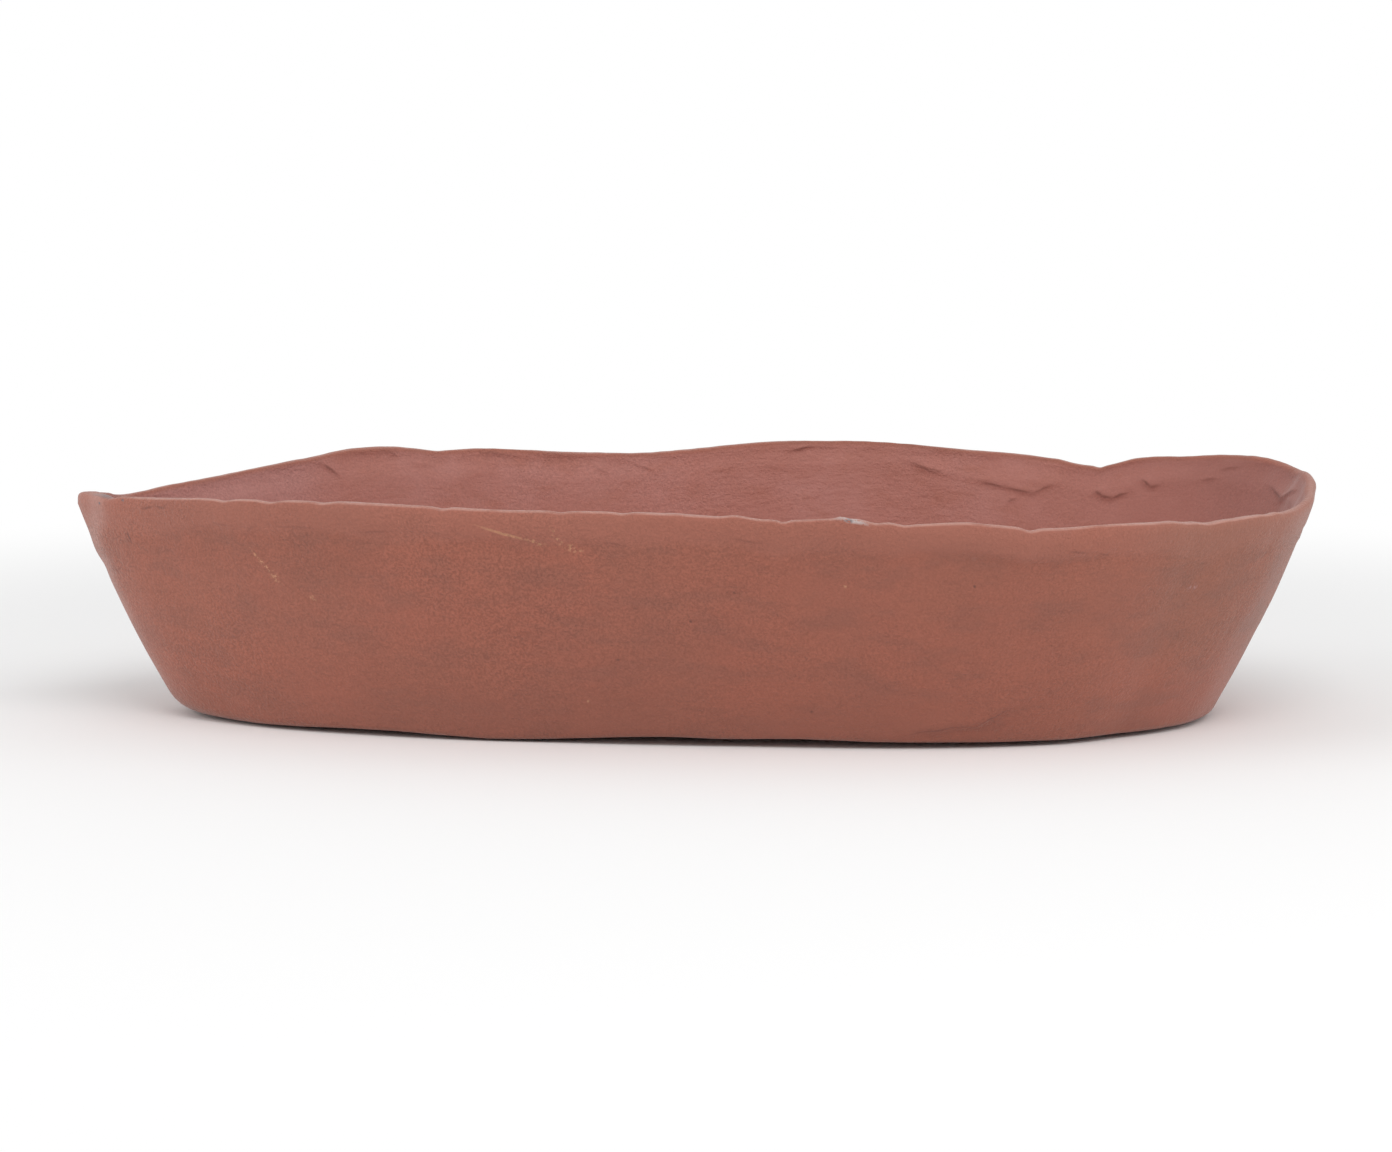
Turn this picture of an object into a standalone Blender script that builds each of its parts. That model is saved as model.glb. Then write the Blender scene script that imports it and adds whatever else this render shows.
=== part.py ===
"""A long, low bonsai pot, hand-built from slabs and coils of unglazed clay.

Metres, +Z up. The pot stands on the ground at z = 0 with its long side along X. Its pinched bow points
to -X and its front faces -Y, and the origin lies on the ground under the middle of the lip. Directions
round the pot are in degrees, anticlockwise from the blunt end at +X.
"""

import math

import bmesh
import bpy
from mathutils import Matrix, Vector

# Form of the clay
LIP_LENGTH = 0.400
LIP_WIDTH = 0.198
LIP_HEIGHT = 0.074  # mean height of the lip above the ground
BASE_LENGTH = 0.337
BASE_WIDTH = 0.146
WALL_BELLY = 0.0018  # how far the walls swell out halfway up
BOW_PINCH = 0.30  # share of the lip's width that is drawn in at the bow
BOW_REACH = 0.055  # how far along the lip the pinch is felt
BOW_KNOB = 0.0075  # the lip's thickness where it is squeezed together at the bow
BOW_KNOB_REACH = 0.012

# Direction, and reach of the outline there against a true oval
OVAL_DRIFT = (
    (0, 0.988), (14, 1.010), (28, 1.028), (45, 1.030), (75, 1.0), (110, 0.96), (150, 0.96), (180, 1.0),
    (206, 0.945), (240, 0.885), (272, 0.925), (300, 1.09), (318, 1.055), (332, 1.024), (346, 0.994),
)

# Direction, and height of the lip there against its mean
LIP_WAVE = (
    (5, 0.0027), (12, 0.0027), (20, 0.0042), (27, 0.0047), (36, 0.0030), (43, 0.0015),
    (47.5, -0.0019), (53, 0.0003), (61, 0.0024), (79, 0.0051), (93, 0.0015), (101, 0.0012),
    (113, 0.0033), (118, 0.0030), (126, 0.0050), (134, 0.0026), (150, -0.0022), (163, -0.0051),
    (173, -0.0028), (203, -0.0013), (214, 0.0002), (235, 0.0017), (250, 0.0007), (266, 0.0008),
    (277, -0.0008), (283, -0.0002), (288, -0.0017), (292, -0.0014), (298, -0.0034), (305, -0.0024),
    (317, -0.0038), (325, -0.0033), (333, -0.0036), (347, -0.0015),
)

# Direction, and height of the base's lower edge there against the flat of its underside
BASE_WAVE = (
    (0, -0.0005), (65, 0.0005), (100, -0.0002), (135, 0.0004), (170, 0.0000), (203, -0.0011),
    (227, -0.0002), (249, -0.0012), (264, 0.0005), (281, 0.0005), (304, -0.0007), (342, -0.0010),
)

# Clay thicknesses and joints
FLOOR_THICKNESS = 0.0065
FLOOR_EDGE_ROUND = 0.0020
BOW_EDGE_ROUND = 0.0050  # the floor's lower edge under the bow
BOW_EDGE_REACH = 0.020
BASE_SKIRT = 0.012  # how far in from the base's edge its underside turns flat
WALL_FOOT_THICKNESS = 0.0070  # measured level, as are the next two
WALL_TOP_THICKNESS = 0.0048
LIP_THICKNESS = 0.0034
RIM_COIL_HEIGHT = 0.0090
RIM_BEAD = 0.0005  # how far the coil stands proud of the wall it is pressed on
RIM_BEAD_AT = 0.18  # shares of the coil's height, from its foot
RIM_WAIST_AT = 0.55
RIM_WAIST_SWELL = 0.4  # share of the bead that is left at the waist
SADDLE_RISE = 0.0012  # crown of the wall's top edge, which the coil is saddled on
CORNER_COIL_REACH = 0.0090
CORNER_COIL_EDGE = 0.0008
THUMB_HOLLOW = 0.5  # how deep the corner coil's face is pressed, as a share of the way to the corner
JOINT_GAP = 0.0003

# Feet: a name and a direction each
FOOT_HEIGHT = 0.0020
FOOT_DIAMETER = 0.030
FOOT_EDGE_ROUND = 0.0008
FOOT_INSET = 0.030  # from the base's edge to a foot's middle
FEET = (
    ("foot_back_right", 38),
    ("foot_back_left", 134),
    ("foot_front_left", 226),
    ("foot_front_right", 322),
)

# Holes in the floor
DRAIN_DIAMETER = 0.022
DRAIN_SPACING = 0.130
TIE_HOLE_DIAMETER = 0.005
TIE_HOLE_SPACING_X = 0.064
TIE_HOLE_SPACING_Y = 0.060

# Drain screens, cut with an odd number of gaps so that one lies over the middle of the hole
MESH_RINGS = 4  # rings of gaps round the middle gap
MESH_PITCH = 0.0044
MESH_STRAND = 0.0012
MESH_THICKNESS = 0.0010

# Clips of bent wire
WIRE_DIAMETER = 0.0012
WIRE_BEND = 0.0015  # radius at the middle of the wire
CURL_RADIUS = 0.0030
CURL_LEAD = 0.0015  # straight run from a leg's bend to its curl
TAIL_LENGTH = 0.0070

# Fineness
STATIONS = 112  # cuts round the pot, an even number
DEGREE_STEPS = 4  # steps to a degree where an outline is measured
WALL_STEPS = 4
LIP_ARC = (45, 90, 135)  # degrees over the rounded lip
ROUND_SEGMENTS = 28
BEND_STEPS = 4
CURL_STEPS = 8
BAR_STEPS = 6
SHARP_ANGLE = math.radians(40)

# Sizes that follow
FLOOR_UNDERSIDE = FOOT_HEIGHT + JOINT_GAP
FLOOR_TOP = FLOOR_UNDERSIDE + FLOOR_THICKNESS
WALL_FOOT = FLOOR_TOP + JOINT_GAP
CUTTER_HEIGHT = 3 * FLOOR_THICKNESS

# Colours, as linear values, and roughness
OUTER_CLAY = (0.31, 0.117, 0.085)
INNER_CLAY = (0.36, 0.150, 0.122)
LIP_CLAY = (0.37, 0.165, 0.130)
FOOT_CLAY = (0.26, 0.095, 0.068)
NET_BLACK = (0.018, 0.019, 0.021)
WIRE_GREY = (0.60, 0.60, 0.61)
CLAY_ROUGHNESS = 0.86
NET_ROUGHNESS = 0.55
WIRE_ROUGHNESS = 0.35


def around(values, degrees):
    """A smooth closed curve through (direction, value) pairs, read at a direction."""
    degrees %= 360
    count = len(values)
    here = sum(direction <= degrees for direction, _ in values) - 1

    def pair(index):
        turns, place = divmod(index, count)
        return values[place][0] + 360 * turns, values[place][1]

    (a0, v0), (a1, v1), (a2, v2), (a3, v3) = (pair(here + step) for step in (-1, 0, 1, 2))
    span = a2 - a1
    slope1 = (v2 - v0) / (a2 - a0) * span
    slope2 = (v3 - v1) / (a3 - a1) * span
    t = (degrees - a1) / span
    curve1 = v1 + t * slope1
    curve2 = v2 - (1 - t) * slope2
    blend = t * t * (3 - 2 * t)
    return curve1 + (curve2 - curve1) * blend


def drifted(degrees):
    """The hand-drawn oval, before it is stretched to a length and a width."""
    turn = math.radians(degrees)
    return Vector((math.cos(turn), math.sin(turn))) * around(OVAL_DRIFT, degrees)


def oval_box():
    points = [drifted(step / DEGREE_STEPS) for step in range(360 * DEGREE_STEPS)]
    low = Vector((min(point.x for point in points), min(point.y for point in points)))
    high = Vector((max(point.x for point in points), max(point.y for point in points)))
    return low, high


OVAL_LOW, OVAL_HIGH = oval_box()


def stretched(degrees, length, width):
    """The oval at a direction, centred on the origin and stretched to this length and width."""
    size = OVAL_HIGH - OVAL_LOW
    point = drifted(degrees) - (OVAL_LOW + OVAL_HIGH) / 2
    return Vector((point.x / size.x * length, point.y / size.y * width, 0))


def nearness(distance, reach):
    """1 at a place, falling smoothly to almost 0 at twice this reach from it."""
    return math.exp(-((distance / reach) ** 2))


def base_point(degrees):
    return stretched(degrees, BASE_LENGTH, BASE_WIDTH)


def lip_point(degrees):
    point = stretched(degrees, LIP_LENGTH, LIP_WIDTH)
    from_bow = point.x + LIP_LENGTH / 2
    point.y *= 1 - BOW_PINCH * nearness(from_bow, BOW_REACH)
    return point


def outward(degrees):
    """The level direction square to the wall, halfway up it."""
    ahead = base_point(degrees + 1) + lip_point(degrees + 1)
    behind = base_point(degrees - 1) + lip_point(degrees - 1)
    along = ahead - behind
    return Vector((along.y, -along.x, 0)).normalized()


class Station:
    """An upright cut through the wall, at one direction round the pot."""

    def __init__(self, degrees):
        self.base = base_point(degrees)
        self.lip = lip_point(degrees)
        self.out = outward(degrees)
        at_bow = nearness(self.lip.x + LIP_LENGTH / 2, BOW_KNOB_REACH)
        self.lip_thickness = LIP_THICKNESS + (BOW_KNOB - LIP_THICKNESS) * at_bow
        under_bow = nearness(self.base.x + BASE_LENGTH / 2, BOW_EDGE_REACH)
        self.edge_round = FLOOR_EDGE_ROUND + (BOW_EDGE_ROUND - FLOOR_EDGE_ROUND) * under_bow
        self.base_edge = FLOOR_UNDERSIDE + around(BASE_WAVE, degrees)
        self.lip_top = LIP_HEIGHT + around(LIP_WAVE, degrees)
        self.lip_side = self.lip_top - LIP_THICKNESS / 2
        self.wall_top = self.lip_top - RIM_COIL_HEIGHT

    def skin(self, z, inward=0.0):
        """A point at this height on the pot's outer skin, or this far inside it."""
        rise = min((z - FLOOR_UNDERSIDE) / (self.lip_side - FLOOR_UNDERSIDE), 1)
        swell = WALL_BELLY * 4 * rise * (1 - rise)
        point = self.base.lerp(self.lip, rise) + self.out * (swell - inward)
        point.z = z
        return point

    def thickness(self, z):
        rise = (z - WALL_FOOT) / (self.wall_top - WALL_FOOT)
        return WALL_FOOT_THICKNESS + (WALL_TOP_THICKNESS - WALL_FOOT_THICKNESS) * rise

    def wall_section(self):
        step_height = (self.wall_top - WALL_FOOT) / WALL_STEPS
        heights = [WALL_FOOT + step_height * step for step in range(WALL_STEPS + 1)]
        outer = [self.skin(z) for z in heights]
        crown = self.skin(self.wall_top + SADDLE_RISE, WALL_TOP_THICKNESS / 2)
        inner = [self.skin(z, self.thickness(z)) for z in reversed(heights)]
        return [*outer, crown, *inner]

    def rim_section(self):
        """The pinched coil: a bead at its foot, a rounded lip, and a groove that sits on the wall's crown."""
        foot = self.wall_top + JOINT_GAP
        height = self.lip_side - foot
        wall, lip = WALL_TOP_THICKNESS, self.lip_thickness
        bead = foot + height * RIM_BEAD_AT
        waist = foot + height * RIM_WAIST_AT
        waist_wall = wall + (lip - wall) * RIM_WAIST_AT
        waist_swell = RIM_BEAD * RIM_WAIST_SWELL
        outer = [
            self.skin(foot),
            self.skin(bead, -RIM_BEAD),
            self.skin(waist, -waist_swell),
            self.skin(self.lip_side),
        ]
        top = []
        for turn in map(math.radians, LIP_ARC):
            above = self.lip_side + LIP_THICKNESS / 2 * math.sin(turn)
            top.append(self.skin(above, lip / 2 * (1 - math.cos(turn))))
        inner = [
            self.skin(self.lip_side, lip),
            self.skin(waist, waist_wall + waist_swell),
            self.skin(bead, wall + RIM_BEAD),
            self.skin(foot, wall),
        ]
        groove = self.skin(foot + SADDLE_RISE, wall / 2)
        return [*outer, *top, *inner, groove]

    def floor_edge(self):
        """From the flat underside, round the base's wavy lower edge, to the floor's top."""
        half_round = self.edge_round * (1 - math.sqrt(0.5))
        return [
            self.skin(FLOOR_UNDERSIDE, BASE_SKIRT),
            self.skin(self.base_edge, self.edge_round),
            self.skin(self.base_edge + half_round, half_round),
            self.skin(self.base_edge + self.edge_round),
            self.skin(FLOOR_TOP),
        ]

    def corner_section(self):
        """The coil pressed into the inside corner, hollowed by a thumb."""
        low = FLOOR_TOP + JOINT_GAP
        high = low + CORNER_COIL_REACH
        at_foot = self.thickness(low) + JOINT_GAP
        at_top = self.thickness(high) + JOINT_GAP
        corner = self.skin(low, at_foot)
        wall_edge = self.skin(high, at_top)
        wall_lip = self.skin(high, at_top + CORNER_COIL_EDGE)
        floor_edge = corner - self.out * CORNER_COIL_REACH
        floor_lip = floor_edge + Vector((0, 0, CORNER_COIL_EDGE))
        hollow = ((wall_lip + floor_lip) / 2).lerp(corner, THUMB_HOLLOW)
        return [corner, wall_edge, wall_lip, hollow, floor_lip, floor_edge]


def half_directions(start):
    """Directions of half the stations from start, evenly spaced along the lip."""
    fine = [start + step / DEGREE_STEPS for step in range(180 * DEGREE_STEPS + 1)]
    points = [lip_point(degrees) for degrees in fine]
    travelled = [0.0]
    for before, after in zip(points, points[1:]):
        travelled.append(travelled[-1] + (after - before).length)
    count = STATIONS // 2
    directions = [start]
    for number in range(1, count):
        wanted = travelled[-1] * number / count
        at = next(index for index, length in enumerate(travelled) if length >= wanted)
        share = (wanted - travelled[at - 1]) / (travelled[at] - travelled[at - 1])
        directions.append(fine[at - 1] + share * (fine[at] - fine[at - 1]))
    return directions


def collection(name):
    made = bpy.data.collections.new(name)
    bpy.context.scene.collection.children.link(made)
    return made


def finish(obj, colour, roughness, metallic=0.0):
    """Gives the piece its own material."""
    material = bpy.data.materials.new(obj.name)
    material.use_nodes = True
    shader = material.node_tree.nodes["Principled BSDF"]
    shader.inputs["Base Color"].default_value = (*colour, 1)
    shader.inputs["Roughness"].default_value = roughness
    shader.inputs["Metallic"].default_value = metallic
    obj.data.materials.clear()
    obj.data.materials.append(material)
    return obj


def mesh_from(name, bm):
    mesh = bpy.data.meshes.new(name)
    bm.to_mesh(mesh)
    bm.free()
    mesh.shade_smooth()
    mesh.set_sharp_from_angle(angle=SHARP_ANGLE)
    return mesh


def add_object(name, data, group, parent=None):
    obj = bpy.data.objects.new(name, data)
    obj.parent = parent
    group.objects.link(obj)
    return obj


def loft_mesh(name, sections, closed):
    """Joins a row of unlike sections, each a loop of points, and caps the two ends of an open row."""
    bm = bmesh.new()
    loops = [[bm.verts.new(point) for point in section] for section in sections]
    following = loops[1:] + loops[:1] if closed else loops[1:]
    for loop, after in zip(loops, following):
        for index in range(len(loop)):
            bm.faces.new((loop[index - 1], loop[index], after[index], after[index - 1]))
    if not closed:
        bm.faces.new(loops[0])
        bm.faces.new(loops[-1])
    bmesh.ops.recalc_face_normals(bm, faces=bm.faces)
    return mesh_from(name, bm)


def wall_slab(name, start, side, group, colour):
    """Half of the wall, from start, with its ends cut flat for the seams at the bow and the blunt end."""
    sections = [Station(degrees).wall_section() for degrees in [*half_directions(start), start + 180]]
    for section in (sections[0], sections[-1]):
        for point in section:
            point.y = side * JOINT_GAP / 2
    slab = add_object(name, loft_mesh(name, sections, closed=False), group)
    return finish(slab, colour, CLAY_ROUGHNESS)


def coil_ring(name, sections, group, colour):
    coil = add_object(name, loft_mesh(name, sections, closed=True), group)
    return finish(coil, colour, CLAY_ROUGHNESS)


def cylinder_mesh(name, diameter, height):
    bm = bmesh.new()
    bmesh.ops.create_cone(
        bm, cap_ends=True, segments=ROUND_SEGMENTS, radius1=diameter / 2, radius2=diameter / 2, depth=height
    )
    return mesh_from(name, bm)


def floor_slab(stations, group, cutters):
    """The base slab. Its edge leans with the walls, wavers where it was cut, and is rounded underneath."""
    rings = zip(*(station.floor_edge() for station in stations))
    floor = add_object("floor_slab", loft_mesh("floor_slab", list(rings), closed=False), group)
    holes = [(side * DRAIN_SPACING / 2, 0, DRAIN_DIAMETER) for side in (-1, 1)]
    holes += [
        (along * TIE_HOLE_SPACING_X / 2, across * TIE_HOLE_SPACING_Y / 2, TIE_HOLE_DIAMETER)
        for along in (-1, 1)
        for across in (-1, 1)
    ]
    for x, y, diameter in holes:
        cutter = add_object("hole", cylinder_mesh("hole", diameter, CUTTER_HEIGHT), cutters)
        cutter.location = (x, y, (FLOOR_UNDERSIDE + FLOOR_TOP) / 2)
        cutter.hide_render = True
        cutter.display_type = "WIRE"
    cut = floor.modifiers.new("holes", "BOOLEAN")
    cut.operation = "DIFFERENCE"
    cut.operand_type = "COLLECTION"
    cut.collection = cutters
    return finish(floor, FOOT_CLAY, CLAY_ROUGHNESS)


def feet(group):
    """Low pads of clay, pressed on under the floor."""
    for name, degrees in FEET:
        foot = add_object(name, cylinder_mesh(name, FOOT_DIAMETER, FOOT_HEIGHT), group)
        foot.location = base_point(degrees) - outward(degrees) * FOOT_INSET
        foot.location.z = FOOT_HEIGHT / 2
        edge = foot.modifiers.new("pressed_edge", "BEVEL")
        edge.width = FOOT_EDGE_ROUND
        edge.segments = 2
        edge.limit_method = "ANGLE"
        finish(foot, FOOT_CLAY, CLAY_ROUGHNESS)


def net_mesh():
    """A square net: a grid of cells, each inset to a gap, made as thick as its strands."""
    cells = 2 * MESH_RINGS + 1
    bm = bmesh.new()
    bmesh.ops.create_grid(bm, x_segments=cells, y_segments=cells, size=cells * MESH_PITCH / 2)
    gaps = list(bm.faces)
    bmesh.ops.inset_individual(bm, faces=gaps, thickness=MESH_STRAND / 2)
    bmesh.ops.delete(bm, geom=gaps, context="FACES")
    return mesh_from("net", bm)


def drain_screen(name, mesh, group, parent):
    screen = add_object(name, mesh, group, parent)
    screen.location.z = JOINT_GAP
    depth = screen.modifiers.new("strand_depth", "SOLIDIFY")
    depth.thickness = MESH_THICKNESS
    depth.offset = 1
    return screen


def bend(middle, start, end):
    """Points of a wire's quarter bend about middle, from the direction start to the direction end."""
    turns = [math.pi / 2 * step / BEND_STEPS for step in range(BEND_STEPS + 1)]
    return [middle + WIRE_BEND * (start * math.cos(turn) + end * math.sin(turn)) for turn in turns]


def clip_half():
    """The wire from the middle of its bar to one tail, with the floor's top at z = 0."""
    reach_in_hole = DRAIN_DIAMETER / 2 - WIRE_BEND
    leg = MESH_PITCH * max(1, math.floor(reach_in_hole / MESH_PITCH))
    over = 2 * JOINT_GAP + MESH_THICKNESS + WIRE_DIAMETER / 2
    under = -FLOOR_THICKNESS - JOINT_GAP - WIRE_DIAMETER / 2
    curl_x = leg + WIRE_BEND + CURL_LEAD
    shares = [step / BAR_STEPS for step in range(BAR_STEPS)]
    bar = [Vector((curl_x * t, -CURL_RADIUS * (3 * t - t**3), over)) for t in shares]
    turns = [math.pi * (step / CURL_STEPS - 0.5) for step in range(CURL_STEPS + 1)]
    middle = Vector((curl_x, -CURL_RADIUS, over))
    curl = [middle + CURL_RADIUS * Vector((math.cos(turn), math.sin(turn), 0)) for turn in turns]
    along, up = Vector((1, 0, 0)), Vector((0, 0, 1))
    top = bend(Vector((leg + WIRE_BEND, 0, over - WIRE_BEND)), up, -along)
    foot = bend(Vector((leg + WIRE_BEND, 0, under + WIRE_BEND)), -along, -up)
    tail = Vector((leg + WIRE_BEND + TAIL_LENGTH, 0, under))
    return [*bar, *curl, *top, *foot, tail]


def clip_curve():
    """An S of wire on the net, with its legs through net and hole and their tails bent out below."""
    half = clip_half()
    turned = [Vector((-point.x, -point.y, point.z)) for point in half[1:]]
    path = [*reversed(turned), *half]
    curve = bpy.data.curves.new("clip_wire", "CURVE")
    curve.dimensions = "3D"
    curve.bevel_depth = WIRE_DIAMETER / 2
    curve.bevel_resolution = 2
    curve.use_fill_caps = True
    spline = curve.splines.new("POLY")
    spline.points.add(len(path) - 1)
    for place, point in zip(spline.points, path):
        place.co = (*point, 1)
    return curve


def drains(group):
    """A net over each drain hole and the clip that holds it there."""
    for side, at in (("left", -1), ("right", 1)):
        hole = add_object(f"drain_{side}", None, group)
        hole.location = (at * DRAIN_SPACING / 2, 0, FLOOR_TOP)
        screen = drain_screen(f"drain_screen_{side}", net_mesh(), group, hole)
        finish(screen, NET_BLACK, NET_ROUGHNESS)
        clip = add_object(f"screen_clip_{side}", clip_curve(), group, hole)
        clip.rotation_euler = Matrix.Rotation(math.pi / 2, 3, "Z").to_euler()
        finish(clip, WIRE_GREY, WIRE_ROUGHNESS, metallic=1.0)


def main():
    for obj in list(bpy.data.objects):
        bpy.data.objects.remove(obj)
    pot = collection("bonsai_pot")
    cutters = collection("cutters")
    back, front = half_directions(0), half_directions(180)
    stations = [Station(degrees) for degrees in [*back, *front]]
    floor_slab(stations, pot, cutters)
    wall_slab("back_wall_slab", 0, 1, pot, INNER_CLAY)
    wall_slab("front_wall_slab", 180, -1, pot, OUTER_CLAY)
    coil_ring("rim_coil", [station.rim_section() for station in stations], pot, LIP_CLAY)
    coil_ring("corner_coil", [station.corner_section() for station in stations], pot, INNER_CLAY)
    feet(pot)
    drains(pot)


main()
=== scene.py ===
import math

import bmesh
import bpy
from mathutils import Matrix, Vector, noise


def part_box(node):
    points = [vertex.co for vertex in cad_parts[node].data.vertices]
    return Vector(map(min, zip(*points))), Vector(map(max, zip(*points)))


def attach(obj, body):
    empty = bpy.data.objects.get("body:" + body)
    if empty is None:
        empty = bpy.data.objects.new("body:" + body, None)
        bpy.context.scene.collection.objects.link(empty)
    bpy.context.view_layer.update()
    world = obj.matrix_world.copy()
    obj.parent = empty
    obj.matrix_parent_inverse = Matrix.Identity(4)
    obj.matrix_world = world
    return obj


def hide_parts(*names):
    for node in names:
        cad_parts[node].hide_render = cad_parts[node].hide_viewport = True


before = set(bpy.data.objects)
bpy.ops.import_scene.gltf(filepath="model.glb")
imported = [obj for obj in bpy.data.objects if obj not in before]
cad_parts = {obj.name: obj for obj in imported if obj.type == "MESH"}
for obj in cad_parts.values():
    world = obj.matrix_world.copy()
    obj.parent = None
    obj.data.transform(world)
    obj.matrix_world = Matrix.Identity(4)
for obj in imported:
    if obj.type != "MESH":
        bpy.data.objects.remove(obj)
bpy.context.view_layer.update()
print("frame: loaded", len(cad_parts), "nodes")

up = Vector((0, 0, 1))
rimLow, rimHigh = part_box("rim_coil")
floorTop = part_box("floor_slab")[1].z
jointGap = 0.0003
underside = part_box("foot_front_left")[1].z + jointGap  # the flat of the base, over the feet


def metres(rows, *columns):  # for tables with these columns in millimetres
    def scaled(row):
        return tuple(value / 1000 if column in columns else value for column, value in enumerate(row))

    return tuple(scaled(row) for row in rows)


# The pot's outline in metres. Directions are degrees, anticlockwise from the blunt end at +X
potForm = {
    "lipLength": rimHigh.x - rimLow.x,
    "lipWidth": rimHigh.y - rimLow.y,
    "lipMean": 0.074,
    "baseLength": 0.337,
    "baseWidth": 0.146,
    "belly": 0.0018,  # how far the walls swell out halfway up
    "bowPinch": 0.3,  # share of the lip's width drawn in at the bow
    "bowReach": 0.055,
    "ovalDrift": (  # direction, reach against a true oval
        (0, 0.988), (14, 1.01), (28, 1.028), (45, 1.03), (75, 1.0), (110, 0.96), (150, 0.96), (180, 1.0),
        (206, 0.945), (240, 0.885), (272, 0.925), (300, 1.09), (318, 1.055), (332, 1.024), (346, 0.994),
    ),
    "lipWave": metres((  # direction, height against the mean
        (5, 2.7), (12, 2.7), (20, 4.2), (28.7, 4.7), (37.6, 3), (44.1, 1.5), (48.4, -1.6), (53.6, 0.3),
        (61.5, 2.4), (79, 5.1), (93, 1.5), (101, 1.2), (113, 3.3), (118, 3), (126, 5), (134, 2.6),
        (150, -2.2), (163, -5.1), (173, -2.8), (203, -1.3), (214, 0.2), (235, 1.7), (250, 0.7),
        (266, 0.8), (277, -0.8), (283, -0.2), (288, -1.7), (292, -1.4), (298, -3.4), (305, -2.4),
        (317, -3.8), (325, -3.3), (333, -3.6), (347, -1.5),
    ), 1),
    "lipNicks": metres((  # direction, half width, height
        (48.4, 2, -0.6), (118.3, 3, -0.3), (156, 9, 0.8), (196, 3.6, -0.8), (174.5, 4, -0.7),
        (186, 4.5, 0.5), (216.4, 3, -0.6), (222.8, 4, -0.7), (229.5, 3, -0.5), (243.7, 2, -0.5),
        (256.1, 2.2, -0.5), (262.4, 2.5, -0.5), (273.2, 4, 0.8), (277.4, 1.6, -0.6), (282.2, 1.6, 0.6),
        (285.0, 3, -0.8), (287.2, 3, -0.5), (297.0, 2.4, -0.8), (310.5, 4, 0.4), (317.0, 3.5, -0.5),
        (330, 2.5, 0.4),
    ), 1, 2),
    "footWave": metres((  # direction, height of the clay's lower edge
        (0, 1.8), (30, 2.2), (65, 2.9), (100, 2.1), (135, 2.7), (170, 2.2), (203, 1), (214, 1.2),
        (227, 1.8), (238, 1.1), (249, 0.9), (264, 2.8), (273, 2.4), (281, 2.8), (290, 2), (304, 1.6),
        (316, 1.5), (338, 1.3), (347, 1.4),
    ), 1),
}


def readRound(pairs, degrees):  # a smooth closed curve through (direction, value) pairs
    degrees %= 360
    count = len(pairs)
    here = sum(pair[0] <= degrees for pair in pairs) - 1

    def pairAt(index):
        turns, place = divmod(index, count)
        return pairs[place][0] + 360 * turns, pairs[place][1]

    (a0, v0), (a1, v1), (a2, v2), (a3, v3) = (pairAt(here + step) for step in (-1, 0, 1, 2))
    span = a2 - a1
    slope1 = (v2 - v0) / (a2 - a0) * span
    slope2 = (v3 - v1) / (a3 - a1) * span
    t = (degrees - a1) / span
    curve1 = v1 + t * slope1
    curve2 = v2 - (1 - t) * slope2
    return curve1 + (curve2 - curve1) * t * t * (3 - 2 * t)


def ovalPoint(degrees):
    turn = math.radians(degrees)
    return Vector((math.cos(turn), math.sin(turn), 0)) * readRound(potForm["ovalDrift"], degrees)


stepsPerDegree = 4
ovalPoints = [ovalPoint(step / stepsPerDegree) for step in range(360 * stepsPerDegree)]
ovalLow = Vector((min(p.x for p in ovalPoints), min(p.y for p in ovalPoints), 0))
ovalHigh = Vector((max(p.x for p in ovalPoints), max(p.y for p in ovalPoints), 0))
ovalMiddle = (ovalLow + ovalHigh) / 2
ovalSize = ovalHigh - ovalLow


def stretched(degrees, length, width):
    point = ovalPoint(degrees) - ovalMiddle
    return Vector((point.x / ovalSize.x * length, point.y / ovalSize.y * width, 0))


def basePoint(degrees):
    return stretched(degrees, potForm["baseLength"], potForm["baseWidth"])


def lipPoint(degrees):
    point = stretched(degrees, potForm["lipLength"], potForm["lipWidth"])
    fromBow = point.x + potForm["lipLength"] / 2
    point.y *= 1 - potForm["bowPinch"] * math.exp(-((fromBow / potForm["bowReach"]) ** 2))
    return point


def outward(degrees):
    along = basePoint(degrees + 1) + lipPoint(degrees + 1) - basePoint(degrees - 1) - lipPoint(degrees - 1)
    return Vector((along.y, -along.x, 0)).normalized()


# Lengths along the lip, from direction 0, so that marks and stations can be spaced along it
lipSteps = [step / stepsPerDegree for step in range(360 * stepsPerDegree + 1)]
lipTravel = [0.0]
for before, after in zip(lipSteps, lipSteps[1:]):
    lipTravel.append(lipTravel[-1] + (lipPoint(after) - lipPoint(before)).length)
lipRound = lipTravel[-1]


def arcAt(degrees):
    place = degrees % 360 * stepsPerDegree
    step = int(place)
    return lipTravel[step] + (lipTravel[step + 1] - lipTravel[step]) * (place - step)


def spacedDirections(count, crowded, factor):  # closer together by this factor in a stretch of directions
    weights = [factor if crowded[0] <= step < crowded[1] else 1.0 for step in lipSteps[1:]]
    reached = [0.0]
    for before, after, weight in zip(lipTravel, lipTravel[1:], weights):
        reached.append(reached[-1] + (after - before) * weight)
    directions = []
    at = 1
    for number in range(count):
        wanted = reached[-1] * number / count
        while reached[at] < wanted:
            at += 1
        share = (wanted - reached[at - 1]) / (reached[at] - reached[at - 1])
        directions.append(lipSteps[at - 1] + share * (lipSteps[at] - lipSteps[at - 1]))
    return directions


def roundTrip(distance):  # the short way round the lip
    return (distance + lipRound / 2) % lipRound - lipRound / 2


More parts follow.
